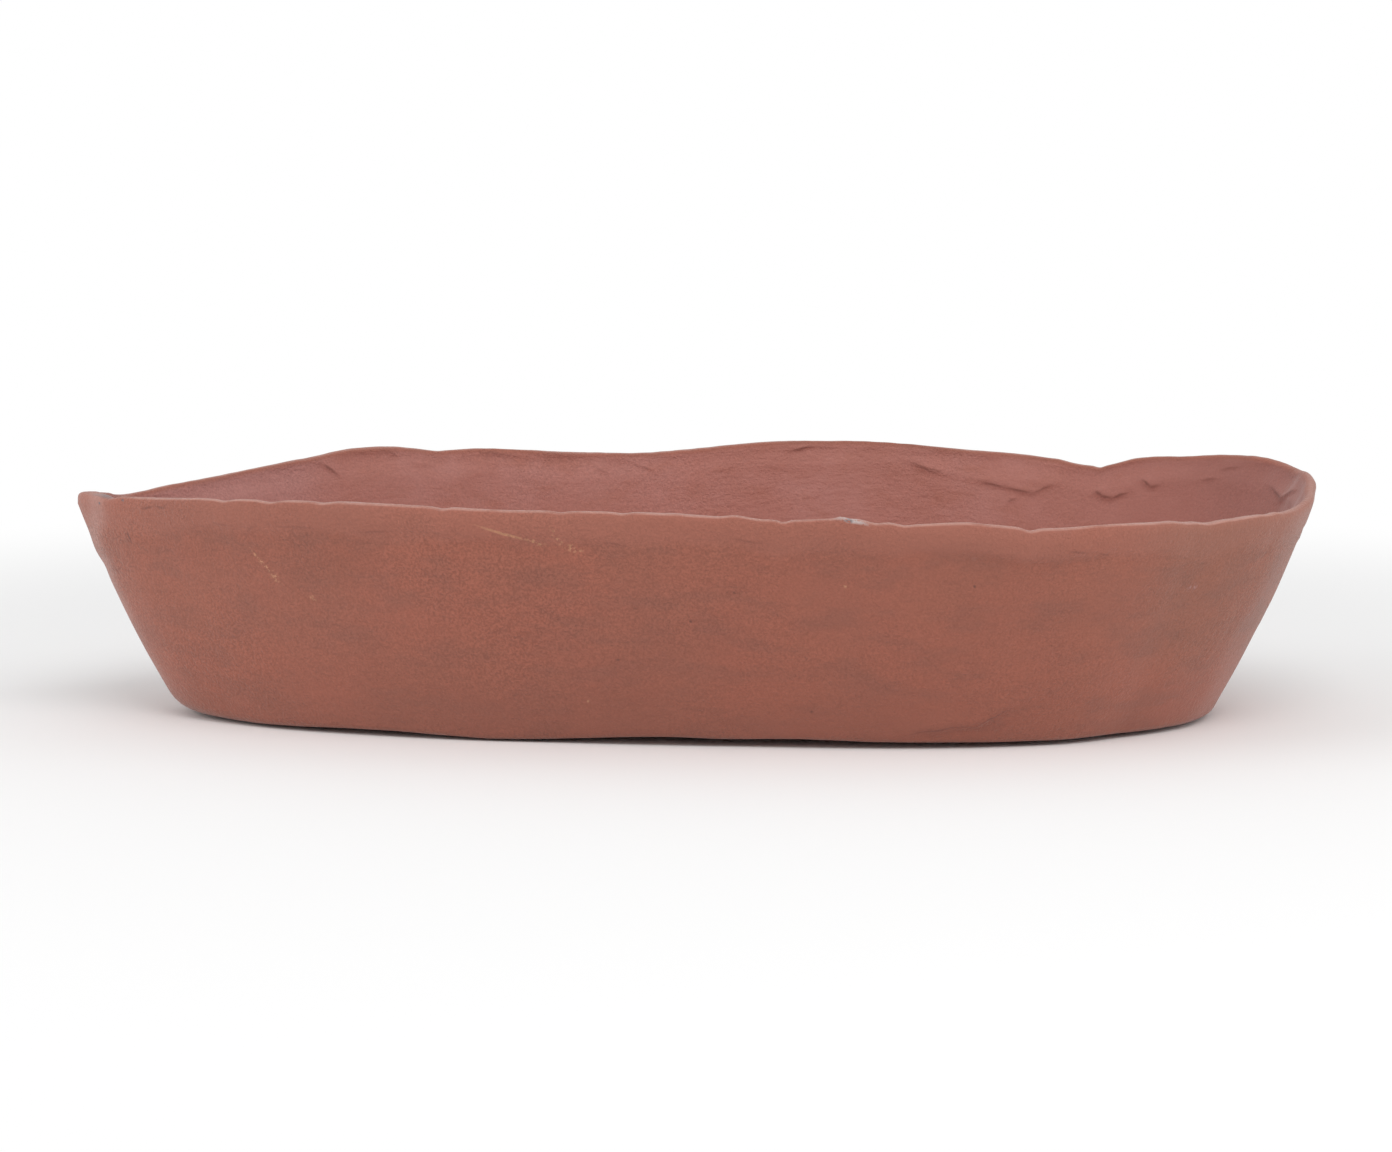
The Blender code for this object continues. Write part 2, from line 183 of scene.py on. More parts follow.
# The wall: outer face, lip, inner face and the coil pressed into the corner, as one skin of fired clay
clayWall = {
    "stations": 840,
    "crowded": (3, 136),  # directions where the stations stand closer, for the folds inside
    "crowding": 1.7,
    "rows": {"under": 4, "edge": 5, "outer": 40, "lip": 12, "inner": 42, "fillet": 6, "floor": 2, "core": 1},
    "footThickness": 0.007,
    "topThickness": 0.0048,
    "lipThickness": 0.0034,
    "bowKnob": 0.0078,  # the lip where it is squeezed together at the bow
    "bowKnobReach": 0.01,
    "bowRound": 0.0038,  # how far down the knob's top edge reaches
    "bowSquare": 0.45,
    "lipUneven": 0.14,  # share by which the lip's thickness wanders
    "unevenScale": 90,
    "lipRipple": 0.00012,
    "rippleScale": 220,
    "edgeRound": metres((
        (0, 2.4), (40, 2), (150, 2.2), (180, 5.2), (208, 3), (235, 1.8), (320, 1.7),
    ), 1),
    "lipSquare": (  # direction, and how round the lip's top is: it is flattened below 1
        (0, 1.0), (22, 0.86), (50, 0.62), (150, 0.62), (200, 0.62), (320, 0.62), (342, 0.92),
    ),
    "underReach": 0.012,
    "coilReach": 0.009,
    "coilFeather": 0.0035,
    "coilSink": 0.0005,
    "coilUneven": 0.18,
    "coilScale": 40,
    "bandDepth": 0.0088,  # of the coil under the lip
    "bandProud": 0.0005,
    "bandSoft": 0.0022,
    "bandWander": 0.0016,
    "softUneven": 0.7,
    "bandUneven": 1.6,  # it fades out in places
    "edgeNoise": (30, (0, 0), (7.3, 0)),  # scale along the lip, and the row read outside and inside
    "softNoise": (45, (3.1, 0), (3.1, 5.7)),
    "patchNoise": (22, (9.4, 0), (9.4, 4.1)),
    "bandFade": 0.025,  # and over this distance from the bow
    "innerBand": (  # direction, and how much of the coil shows on the inside
        (18, 0.9), (33, 0.35), (48, 0.9), (60, 1.0), (88, 0.35), (150, 0.2), (200, 0.5), (300, 0.8),
    ),
    "innerCrowd": 2.5,  # how the inner rows crowd towards the lip
    "innerEven": 0.3,  # share of them that is spaced evenly
    "swell": ((24, 0.00042), (70, 0.00016), (210, 0.00006)),  # noise scale, height
    "innerLumps": ((45, 0.00055), (120, 0.00026)),
    "lumpDepth": 0.016,  # how far below the lip the inside stays lumpy
    "lumpStart": 0.4,
    "dentReach": 9,  # squared half widths
    "markFade": {"under": 0.0, "core": 0.0, "floor": 0.0, "edge": 0.5, "lip": 0.35},  # 1 elsewhere
    "weld": 0.000001,
}

# Folds of pressed clay: direction, mm below the lip, half length, tilt (right end down), height
innerFolds = metres((
    (132.1, 4.6, 4, 44, 1.2), (123.7, 1.9, 2.2, 34, 0.7), (120.3, 4.9, 3.4, 0, 0.5), (112, 1, 6, 4, 0.7),
    (100.3, 5.5, 3, 17, 0.6), (95.9, 4.4, 4.8, 21, 0.6), (79.8, 2.2, 5, -14, 0.9), (67.3, 7, 6.6, 16, 1),
    (65.8, 7.7, 4, 8, 0.6), (59.5, 10.4, 5.6, 6, 1), (56.7, 11.3, 7, 5, 1.3), (54, 9.8, 4.8, -30, 0.8),
    (57.2, 14.9, 2, -25, 0.9), (47.4, 8.8, 2.8, 34, 1.4), (46.2, 10.9, 3.4, 22, 1.2),
    (44.5, 11.5, 3.8, -7, 1.3), (41.4, 8.5, 3.4, 29, 1.3), (40.2, 9.5, 2.2, -7, 0.8),
    (31.9, 7.7, 4.2, -3, 0.7), (28.9, 4, 5, -10, 0.6), (14.2, 8.2, 8, 8, 1.3), (7, 7, 9.2, -17, 1.1),
    (350, 7.5, 6, 8, 0.9), (331, 9.5, 5, -14, 1.1), (311.9, 6.2, 4.5, 18, 0.9), (295.8, 11, 6, -6, 1.1),
    (280.7, 7.8, 4, 22, 0.8), (261.6, 9.8, 7, -10, 1), (242.7, 7, 4.2, 15, 0.9),
    (223.7, 8.8, 5.2, -20, 0.9), (205.6, 7, 3.5, 10, 0.8), (163.4, 6.8, 4.2, -12, 0.9),
    (148.4, 9, 5, 16, 0.9),
), 1, 2, 4)
outerFolds = metres((
    (274.4, 6.6, 6, 2, 0.8), (301.3, 6.8, 4.5, 14, 0.9), (303.9, 8.6, 2.4, 20, 1),
    (293.8, 65, 15, -12, 1.8), (298.4, 59.6, 8.5, -24, 1.8), (261.6, 9.2, 6, 4, 0.6),
    (203.9, 2.5, 3, -10, 1.2), (206.4, 2.3, 3.4, 4, 1.2), (190.5, 24, 4, 5, 0.7), (225.7, 7.6, 9, 3, 0.7),
    (235.7, 8, 7, -4, 0.7), (197.4, 12.1, 2.8, 90, 1), (215.7, 7, 5, 2, 0.7), (219.7, 8.2, 3, -24, 0.6),
    (21.9, 9.2, 8, 6, 0.6), (64.5, 9.8, 6, -10, 0.6), (95.3, 8.8, 9, 5, 0.5), (128.3, 9.2, 5, -12, 0.6),
    (152.4, 30, 6, 30, 0.6), (75.3, 61, 12, 8, 0.8), (348, 13, 4, 25, 0.6),
), 1, 2, 4)
foldShape = {"fade": 0.003, "sharp": 0.0007, "undercut": 0.3, "hollow": 3, "reach": 3.2, "press": 0.62}

# Shallow finger dents on the outside: direction, mm below the lip, half width, half height, depth
dents = metres((
    (273.6, 23.5, 6, 2.2, 0.35), (316.1, 20, 10, 6, 0.45), (227.7, 33, 14, 9, 0.4),
    (247.7, 48, 16, 8, 0.4), (299.6, 36, 13, 10, 0.45), (197.5, 12.2, 0.9, 2.8, 0.5),
    (186, 22.5, 8, 3.5, 0.6), (335, 42, 11, 9, 0.45), (21.9, 30, 14, 10, 0.5), (52.7, 40, 12, 8, 0.4),
    (88.3, 26, 15, 9, 0.5), (120.3, 46, 13, 9, 0.45), (176, 19, 10, 5, -1), (174, 25.8, 9, 2.8, 0.4),
), 1, 2, 3, 4)


def smooth(share):
    share = min(max(share, 0.0), 1.0)
    return share * share * (3 - 2 * share)


def rowShares(zone):
    count = clayWall["rows"][zone]
    return [row / count for row in range(count)]


class Station:  # an upright cut through the wall
    def __init__(self, degrees):
        form, wall = potForm, clayWall
        self.direction = degrees
        self.arc = arcAt(degrees)
        self.base = basePoint(degrees)
        self.lip = lipPoint(degrees)
        self.out = outward(degrees)
        squeeze = math.exp(-(((self.lip.x + form["lipLength"] / 2) / wall["bowKnobReach"]) ** 2))
        plain = wall["lipThickness"]
        lipThick = plain + (wall["bowKnob"] - plain) * squeeze
        self.lipThick = lipThick * (1 + wall["lipUneven"] * noise.noise(self.lip * wall["unevenScale"]))
        self.lipTop = form["lipMean"] + readRound(form["lipWave"], degrees)
        self.lipTop += wall["lipRipple"] * noise.noise(self.lip * wall["rippleScale"])
        for direction, half, height in form["lipNicks"]:
            self.lipTop += height * math.exp(-((roundTrip(self.arc - arcAt(direction)) / half) ** 2))
        self.lipHalf = plain / 2 + (wall["bowRound"] - plain / 2) * squeeze
        flat = readRound(wall["lipSquare"], degrees)
        self.lipSquare = flat + (wall["bowSquare"] - flat) * squeeze
        self.lipSide = self.lipTop - self.lipHalf
        self.edge = readRound(form["footWave"], degrees)
        self.fromBow = smooth((self.lip.x + form["lipLength"] / 2) / wall["bandFade"])
        self.innerBand = readRound(wall["innerBand"], degrees)
        self.inner = self.nearFolds(innerFolds, -1)
        self.outer = self.nearFolds(outerFolds, 1)
        self.dents = [(dent, roundTrip(self.arc - arcAt(dent[0]))) for dent in dents]

    def nearFolds(self, folds, side):  # those that reach this station, with how far right of them it lies
        found = []
        for direction, below, half, tilt, height in folds:
            right = side * roundTrip(self.arc - arcAt(direction))
            if abs(right) < half * foldShape["reach"]:
                found.append((below, half, math.radians(tilt), height, right))
        return found

    def skin(self, z, inward=0.0):
        rise = min((z - underside) / (self.lipSide - underside), 1)
        swell = potForm["belly"] * 4 * rise * (1 - rise)
        point = self.base.lerp(self.lip, rise) + self.out * (swell - inward)
        point.z = z
        return point

    def thickness(self, z):
        wall = clayWall
        coil = smooth((self.lipSide - z) / wall["bandDepth"])
        down = max(self.lipSide - wall["bandDepth"] - z, 0) / (self.lipSide - wall["bandDepth"] - floorTop)
        atTop = self.lipThick + (wall["topThickness"] - self.lipThick) * coil
        return atTop + (wall["footThickness"] - wall["topThickness"]) * down

    def section(self):  # points from under the floor's edge, over the lip, to the inside corner and back
        wall = clayWall
        edgeRound = readRound(wall["edgeRound"], self.direction)
        points = []
        for share in rowShares("under"):
            inward = wall["underReach"] + (edgeRound - wall["underReach"]) * share
            points.append(self.skin(underside + (self.edge - underside) * smooth(share), inward))
        for share in rowShares("edge"):
            turn = math.pi / 2 * share
            z = self.edge + edgeRound * (1 - math.cos(turn))
            points.append(self.skin(z, edgeRound * (1 - math.sin(turn))))
        edgeTop = self.edge + edgeRound
        for share in rowShares("outer"):
            points.append(self.skin(edgeTop + (self.lipSide - edgeTop) * share))
        for share in rowShares("lip"):
            turn = math.pi * share
            across = math.copysign(abs(math.cos(turn)) ** self.lipSquare, math.cos(turn))
            point = self.skin(self.lipSide, self.lipThick / 2 * (1 - across))
            points.append(point + up * self.lipHalf * math.sin(turn) ** self.lipSquare)
        coilTop = floorTop + wall["coilReach"]
        for even in rowShares("inner"):
            share = wall["innerEven"] * even + (1 - wall["innerEven"]) * even ** wall["innerCrowd"]
            z = self.lipSide + (coilTop - self.lipSide) * share
            points.append(self.skin(z, self.thickness(z)))
        corner = self.skin(floorTop, self.thickness(floorTop))
        onWall = self.skin(coilTop, self.thickness(coilTop))
        wander = 1 + wall["coilUneven"] * noise.noise(self.base * wall["coilScale"])
        onFloor = corner - self.out * wall["coilReach"] * wander + up * wall["coilSink"]
        for share in rowShares("fillet"):
            points.append(onWall.lerp(corner, share).lerp(corner.lerp(onFloor, share), share))
        feathered = onFloor - self.out * wall["coilFeather"] * wander - up * wall["coilSink"] * 2
        for share in rowShares("floor"):
            points.append(onFloor.lerp(feathered, smooth(share)))
        for share in rowShares("core"):
            points.append(feathered.lerp(points[0], share))
        points.append(points[0].copy())
        return points


def foldLift(fold, below):
    depth, half, turn, height, right = fold
    down = below - depth
    along = right * math.cos(turn) + down * math.sin(turn)
    across = down * math.cos(turn) - right * math.sin(turn)
    lift = height * foldShape["press"] * math.exp(-((along / half) ** 2))
    if across < 0:
        return lift * math.exp(across / foldShape["fade"])
    away = across / foldShape["sharp"]
    undercut = foldShape["undercut"]
    hollow = undercut * math.exp(-((away / foldShape["hollow"]) ** 2))
    return lift * ((1 + undercut) * math.exp(-(away**2)) - hollow)


def ripples(point, layers):  # layers of noise: scale, height
    return sum(height * noise.noise(point * scale) for scale, height in layers)


def lipNoise(station, settings, inside):
    scale, outerRow, innerRow = settings
    return noise.noise(Vector((station.arc * scale, *(innerRow if inside else outerRow))))


def handMarks(station, point, below, inside):  # how far the clay stands out from a true surface
    wall = clayWall
    lift = ripples(point, wall["swell"])
    bandEdge = wall["bandDepth"] + wall["bandWander"] * lipNoise(station, wall["edgeNoise"], inside)
    bandSoft = wall["bandSoft"] * (1 + wall["softUneven"] * lipNoise(station, wall["softNoise"], inside))
    proud = wall["bandProud"] * (1 + wall["bandUneven"] * lipNoise(station, wall["patchNoise"], inside))
    if inside:
        proud *= station.innerBand
    lift += proud * station.fromBow * (1 - smooth((below - bandEdge) / bandSoft + 0.5))
    if inside:
        lumpy = 1 - smooth(below / wall["lumpDepth"] - wall["lumpStart"])
        lift += lumpy * ripples(point, wall["innerLumps"])
        return lift + sum(foldLift(fold, below) for fold in station.inner)
    lift += sum(foldLift(fold, below) for fold in station.outer)
    for (_, depth, wide, high, deep), right in station.dents:
        spread = (right / wide) ** 2 + ((below - depth) / high) ** 2
        if spread < wall["dentReach"]:
            lift -= deep * math.exp(-spread)
    return lift


def meshObject(name, bm):
    mesh = bpy.data.meshes.new(name)
    bm.to_mesh(mesh)
    bm.free()
    made = bpy.data.objects.new(name, mesh)
    bpy.context.scene.collection.objects.link(made)
    return made


def finishPiece(name, bm, material, slot, *nodes):
    piece = meshObject(name, bm)
    piece.data.shade_smooth()
    piece.data.materials.append(material)
    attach(piece, "root")
    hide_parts(*nodes)
    return piece


def makeWall(material):
    wall = clayWall
    zones = [zone for zone, count in wall["rows"].items() for row in range(count)] + ["core"]
    rows, columns = len(zones) - 1, wall["stations"]
    stations = [Station(degrees) for degrees in spacedDirections(columns, wall["crowded"], wall["crowding"])]
    crown = zones.index("lip") + wall["rows"]["lip"] // 2
    bm = bmesh.new()
    skinMap = bm.loops.layers.uv.new("skin")
    bmesh.ops.create_grid(bm, x_segments=columns, y_segments=rows, size=1)
    placed = {}
    for column in range(columns):  # every section, with its hand marks pushed out along the surface
        station = stations[column]
        points = station.section()
        for row, point in enumerate(points):
            below = station.lipTop - point.z
            inside = row > crown
            fade = wall["markFade"].get(zones[row], 1.0)
            ahead = points[min(row + 1, rows)] - points[max(row - 1, 0)]
            away = (station.out * ahead.z - up * ahead.dot(station.out)).normalized()
            lift = fade * handMarks(station, point, below, inside) if fade else 0.0
            placed[column, row] = (point + away * lift, -below if inside else below)
    for vert in bm.verts:  # the flat sheet is rolled up round the pot
        column = round((vert.co.x + 1) / 2 * columns)
        row = round((vert.co.y + 1) / 2 * rows)
        spot, depth = placed[column % columns, row]
        arc = lipRound if column == columns else stations[column].arc
        for loop in vert.link_loops:
            loop[skinMap].uv = (arc, depth)
        vert.co = spot
    rim = [vert for vert in bm.verts if vert.is_boundary]
    bmesh.ops.remove_doubles(bm, verts=rim, dist=wall["weld"])
    bmesh.ops.recalc_face_normals(bm, faces=bm.faces)
    nodes = ("front_wall_slab", "back_wall_slab", "rim_coil", "corner_coil")
    return finishPiece("clay_wall", bm, material, "outer_clay", *nodes)


# The floor inside the wall's foot, with hand-cut holes
drainSides = ("left", "right")
clayFloor = {
    "segments": 240,
    "rings": (0.03, 0.12, 0.24, 0.36, 0.48, 0.6, 0.7, 0.79, 0.87, 0.94, 1.0),
    "inset": 0.006,
    "recess": 0.00015,
    "ripple": ((30, 0.00022), (90, 0.0001)),
    "drainWidth": 0.022,
    "tieHoleWidth": 0.005,
    "tieSpacing": (0.064, 0.06),
    "holeRound": 0.0008,
    "holeFlare": 1.3,  # against the rounding
    "holeTurns": (0.4, 0.8, 1.2, math.pi / 2),
    "holeSegments": 56,
    "cutterProud": 0.0001,
    "cutterReach": 0.003,
    "sharpAngle": 50,
}


def boxMiddle(node):
    low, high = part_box(node)
    return (low + high) / 2


def quarterTurns(steps):
    return [math.pi / 2 * step / steps for step in range(steps + 1)]


def floorRing(share, z, rippled):
    ring = []
    for number in range(clayFloor["segments"]):
        degrees = 360 * number / clayFloor["segments"]
        point = (basePoint(degrees) - outward(degrees) * clayFloor["inset"]) * share
        ring.append(point + up * (z + rippled * ripples(point, clayFloor["ripple"])))
    return ring


def extrudeRing(bm, edges, points):  # pulls a new loop out of this one and sets it on these points
    made = bmesh.ops.extrude_edge_only(bm, edges=edges)["geom"]
    order = bm.verts.layers.int["order"]
    for vert in made:
        if isinstance(vert, bmesh.types.BMVert):
            vert.co = points[vert[order]]
    fresh = {item for item in made if isinstance(item, bmesh.types.BMVert)}
    return [edge for edge in made if isinstance(edge, bmesh.types.BMEdge) and set(edge.verts) <= fresh]


def ringStack(rings):  # a closed skin over a stack of rings, capped at both ends
    bm = bmesh.new()
    order = bm.verts.layers.int.new("order")
    bmesh.ops.create_circle(bm, segments=len(rings[0]), radius=1)
    bm.verts.ensure_lookup_table()
    for number, vert in enumerate(bm.verts):
        vert[order] = number
        vert.co = rings[0][number]
    edges = list(bm.edges)
    for points in rings[1:]:
        edges = extrudeRing(bm, edges, points)
    bmesh.ops.holes_fill(bm, edges=[edge for edge in bm.edges if edge.is_boundary], sides=0)
    bmesh.ops.recalc_face_normals(bm, faces=bm.faces)
    return bm


def circleRing(middle, radius, z, segments):
    turns = [2 * math.pi * number / segments for number in range(segments)]
    return [Vector((middle.x + radius * math.cos(t), middle.y + radius * math.sin(t), z)) for t in turns]


def holeCutter(middle, width):  # flared at both faces, so that it leaves soft edges
    soft, proud, reach = clayFloor["holeRound"], clayFloor["cutterProud"], clayFloor["cutterReach"]
    low, high, flare = underside, floorTop, soft * clayFloor["holeFlare"]
    bends = [(soft * (1 - math.sin(t)), soft * (1 - math.cos(t))) for t in clayFloor["holeTurns"]]
    profile = [(flare, low - reach), (flare, low - proud)]
    profile += [(wide, low + deep) for wide, deep in bends]
    profile += [(wide, high - deep) for wide, deep in reversed(bends)]
    profile += [(flare, high + proud), (flare, high + reach)]
    rings = [circleRing(middle, width / 2 + wide, z, clayFloor["holeSegments"]) for wide, z in profile]
    return meshObject("cutter", ringStack(rings))


def makeFloor(material):
    shares = clayFloor["rings"]
    bottom, top = underside + clayFloor["recess"], floorTop
    rings = [floorRing(share, bottom, 0) for share in shares]
    rings += [floorRing(share, top, 1) for share in reversed(shares)]
    piece = finishPiece("clay_floor", ringStack(rings), material, "foot_clay", "floor_slab")
    cutters = [holeCutter(boxMiddle("drain_screen_" + side), clayFloor["drainWidth"]) for side in drainSides]
    wide, deep = clayFloor["tieSpacing"]
    for along in (-1, 1):
        for across in (-1, 1):
            spot = Vector((along * wide / 2, across * deep / 2, 0))
            cutters.append(holeCutter(spot, clayFloor["tieHoleWidth"]))
    for cutter in cutters:
        cut = piece.modifiers.new("hole", "BOOLEAN")
        cut.object = cutter
    graph = bpy.context.evaluated_depsgraph_get()
    mesh = bpy.data.meshes.new_from_object(piece.evaluated_get(graph))
    piece.modifiers.clear()
    piece.data = mesh
    for cutter in cutters:
        bpy.data.objects.remove(cutter)
    mesh.shade_smooth()
    mesh.set_sharp_from_angle(angle=math.radians(clayFloor["sharpAngle"]))
    return piece


# Feet: pads of clay thumbed on under the floor
clayFoot = {
    "segments": 96, "uneven": 0.05, "round": 0.0009, "sink": 0.001, "rows": 5,
    "sole": (0.6, 0.2),  # insets of the sole's rings, against the radius
    "spread": (0.2, 0.6),  # where the pad meets the floor, against the rounding
    "noisePlace": 31, "noiseTurn": 1.7,
}


def makeFoot(node, material):
    low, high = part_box(node)
    middle, radius = boxMiddle(node), (high.x - low.x) / 2

    def padRing(inset, z):
        ring = []
        for point in circleRing(middle, 1, z, clayFoot["segments"]):
            toward = point - Vector((middle.x, middle.y, z))
            spot = middle * clayFoot["noisePlace"] + toward * clayFoot["noiseTurn"]
            wander = 1 - clayFoot["uneven"] * (0.5 + 0.5 * noise.noise(spot))
            ring.append(Vector((middle.x, middle.y, z)) + toward * (radius * wander - inset))
        return ring

    soft = clayFoot["round"]
    turns = quarterTurns(clayFoot["rows"])
    rings = [padRing(radius * share, low.z) for share in clayFoot["sole"]]
    rings += [padRing(soft * (1 - math.sin(t)), low.z + soft * (1 - math.cos(t))) for t in turns]
    tops = (high.z, high.z + clayFoot["sink"])
    rings += [padRing(-soft * share, z) for share, z in zip(clayFoot["spread"], tops)]
    return finishPiece("clay_" + node, ringStack(rings), material, "foot_clay", node)


# Nets over the drain holes, moulded with rounded strands
drainNet = {"cells": 9, "strand": 0.0012, "round": 0.00022, "roundSteps": 2, "sharp": 1.0}


def makeNet(side, material):
    node = "drain_screen_" + side
    low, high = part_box(node)
    middle = boxMiddle(node)
    bm = bmesh.new()
    cells = drainNet["cells"]
    place = Matrix.Translation((middle.x, middle.y, low.z))
    bmesh.ops.create_grid(bm, x_segments=cells, y_segments=cells, size=(high.x - low.x) / 2, matrix=place)
    gaps = list(bm.faces)
    bmesh.ops.inset_individual(bm, faces=gaps, thickness=drainNet["strand"] / 2)
    bmesh.ops.delete(bm, geom=gaps, context="FACES")
    bmesh.ops.solidify(bm, geom=bm.faces[:] + bm.edges[:] + bm.verts[:], thickness=-(high.z - low.z))
    bmesh.ops.recalc_face_normals(bm, faces=bm.faces)
    corners = [edge for edge in bm.edges if edge.is_manifold and edge.calc_face_angle() > drainNet["sharp"]]
    bmesh.ops.bevel(
        bm, geom=corners, offset=drainNet["round"], offset_type="OFFSET", affect="EDGES",
        segments=drainNet["roundSteps"], profile=0.5, material=-1, clamp_overlap=True,
    )
    return finishPiece("net_" + side, bm, material, "net", node)


# Clips: an S of wire on the net, with its legs down through the hole and its tails bent out below
wireClip = {
    "bend": 0.0015, "curl": 0.003, "lead": 0.0015, "tail": 0.007, "width": 0.0012,
    "bendSteps": 10, "curlSteps": 22, "barSteps": 14, "roundSteps": 4, "legCells": 2, "weld": 0.00001,
}


def quarterBend(middle, start, end):
    turns = quarterTurns(wireClip["bendSteps"])
    return [middle + wireClip["bend"] * (start * math.cos(t) + end * math.sin(t)) for t in turns]


def clipHalf(leg, over, under):
    bend, curl = wireClip["bend"], wireClip["curl"]
    curlX = leg + bend + wireClip["lead"]
    shares = [step / wireClip["barSteps"] for step in range(wireClip["barSteps"])]
    points = [Vector((curlX * t, -curl * (3 * t - t**3), over)) for t in shares]
    for step in range(wireClip["curlSteps"] + 1):
        turn = math.pi * (step / wireClip["curlSteps"] - 0.5)
        points.append(Vector((curlX + curl * math.cos(turn), curl * (math.sin(turn) - 1), over)))
    along = Vector((1, 0, 0))
    points += quarterBend(Vector((leg + bend, 0, over - bend)), up, -along)
    points += quarterBend(Vector((leg + bend, 0, under + bend)), -along, -up)
    return points + [Vector((leg + bend + wireClip["tail"], 0, under))]


def makeClip(side, material):
    node = "screen_clip_" + side
    low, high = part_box(node)
    netLow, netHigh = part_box("drain_screen_" + side)
    middle = (netLow + netHigh) / 2
    leg = (netHigh.x - netLow.x) / drainNet["cells"] * wireClip["legCells"]
    half = wireClip["width"] / 2
    points = clipHalf(leg, high.z - half, low.z + half)
    route = [Vector((-point.x, -point.y, point.z)) for point in reversed(points[1:])] + points
    curve = bpy.data.curves.new(node, "CURVE")
    curve.dimensions = "3D"
    curve.bevel_depth = half
    curve.bevel_resolution = wireClip["roundSteps"]
    curve.use_fill_caps = True
    spline = curve.splines.new("POLY")
    spline.points.add(len(route) - 1)
    for spot, point in zip(spline.points, route):  # the bar lies across the pot
        spot.co = (middle.x - point.y, middle.y + point.x, point.z, 1)
    shape = bpy.data.objects.new(node + "_wire", curve)
    bpy.context.scene.collection.objects.link(shape)
    mesh = bpy.data.meshes.new_from_object(shape.evaluated_get(bpy.context.evaluated_depsgraph_get()))
    bpy.data.objects.remove(shape)
    bm = bmesh.new()
    bm.from_mesh(mesh)
    bmesh.ops.remove_doubles(bm, verts=bm.verts, dist=wireClip["weld"])
    bmesh.ops.recalc_face_normals(bm, faces=bm.faces)
    return finishPiece("clip_" + side, bm, material, "wire", node)


def addNode(tree, kind, inputs=(), **settings):
    made = tree.nodes.new(kind)
    for name, value in settings.items():
        setattr(made, name, value)
    for name, value in dict(inputs).items():
        socket = made.inputs[name]
        if isinstance(value, bpy.types.NodeSocket):
            tree.links.new(value, socket)
        else:
            socket.default_value = value
    return made


def calc(tree, operation, first, second=0.0, clamp=False):
    inputs = {0: first, 1: second}
    return addNode(tree, "ShaderNodeMath", inputs, operation=operation, use_clamp=clamp).outputs[0]


def times(tree, first, *others):
    for other in others:
        first = calc(tree, "MULTIPLY", first, other)
    return first


def centred(tree, value):
    return calc(tree, "SUBTRACT", value, 0.5)


def apart(tree, first, second):
    return calc(tree, "ABSOLUTE", calc(tree, "SUBTRACT", first, second))


def vectorCalc(tree, operation, first, second):
    socket = "Scale" if operation == "SCALE" else 1
    return addNode(tree, "ShaderNodeVectorMath", {0: first, socket: second}, operation=operation).outputs[0]


def lengthOf(tree, vector):
    return addNode(tree, "ShaderNodeVectorMath", {0: vector}, operation="LENGTH").outputs["Value"]


def axisOf(tree, vector, axis):
    return addNode(tree, "ShaderNodeSeparateXYZ", {0: vector}).outputs[axis]


def scaledBy(tree, vector, scale):
    return addNode(tree, "ShaderNodeMapping", {"Vector": vector, "Scale": scale}).outputs[0]


def ramp(tree, value, start, end, low=0.0, high=1.0):  # a soft step, clamped
    inputs = {"Value": value, "From Min": start, "From Max": end, "To Min": low, "To Max": high}
    return addNode(tree, "ShaderNodeMapRange", inputs, interpolation_type="SMOOTHSTEP").outputs["Result"]


def tint(tree, mask, base, over, mode="MIX"):
    mix = addNode(tree, "ShaderNodeMix", {0: mask, 6: base, 7: over}, data_type="RGBA", blend_type=mode)
    return mix.outputs[2]


def noiseAt(tree, vector, scale, detail=2.0, rough=0.5):
    inputs = {"Vector": vector, "Scale": scale, "Detail": detail, "Roughness": rough}
    return addNode(tree, "ShaderNodeTexNoise", inputs).outputs["Fac"]


def bumped(tree, height, distance, strength=1.0):
    inputs = {"Height": height, "Strength": strength, "Distance": distance}
    return addNode(tree, "ShaderNodeBump", inputs).outputs["Normal"]


def feed(tree, sockets, values):
    for name, value in values.items():
        tree.links.new(value, sockets[name])


def newGroup(name, inputs, outputs):  # a socket without a number is a vector
    group = bpy.data.node_groups.new(name, "ShaderNodeTree")
    for way, sockets in (("INPUT", inputs), ("OUTPUT", outputs)):
        for label, value in sockets.items():
            kind = "NodeSocketVector" if value is None else "NodeSocketFloat"
            socket = group.interface.new_socket(label, in_out=way, socket_type=kind)
            if value is not None:
                socket.default_value = value
    source = group.nodes.new("NodeGroupInput").outputs
    target = group.nodes.new("NodeGroupOutput").inputs
    return group, source, target


# Shared effects. A noise is its scale, detail and roughness. A step is from, to, and the value at each
grainForm = {
    "sand": (3.0, 0.7),  # the scales of sand and mottle come with each use
    "mottle": (5.0, 0.66),
    "mottleStep": (0.26, 0.74),
    "peelScale": 0.5,  # against the sand's
    "patches": (26.0, 3.0),
    "patchStep": (0.38, 0.64, 0.65, 1.2),
    "peelRise": 0.8,
    "sandRise": 0.6,
}
speckForm = {"size": 0.16, "least": 0.01}
markForm = {"edge": (0.46, 0.57), "soft": 0.3}


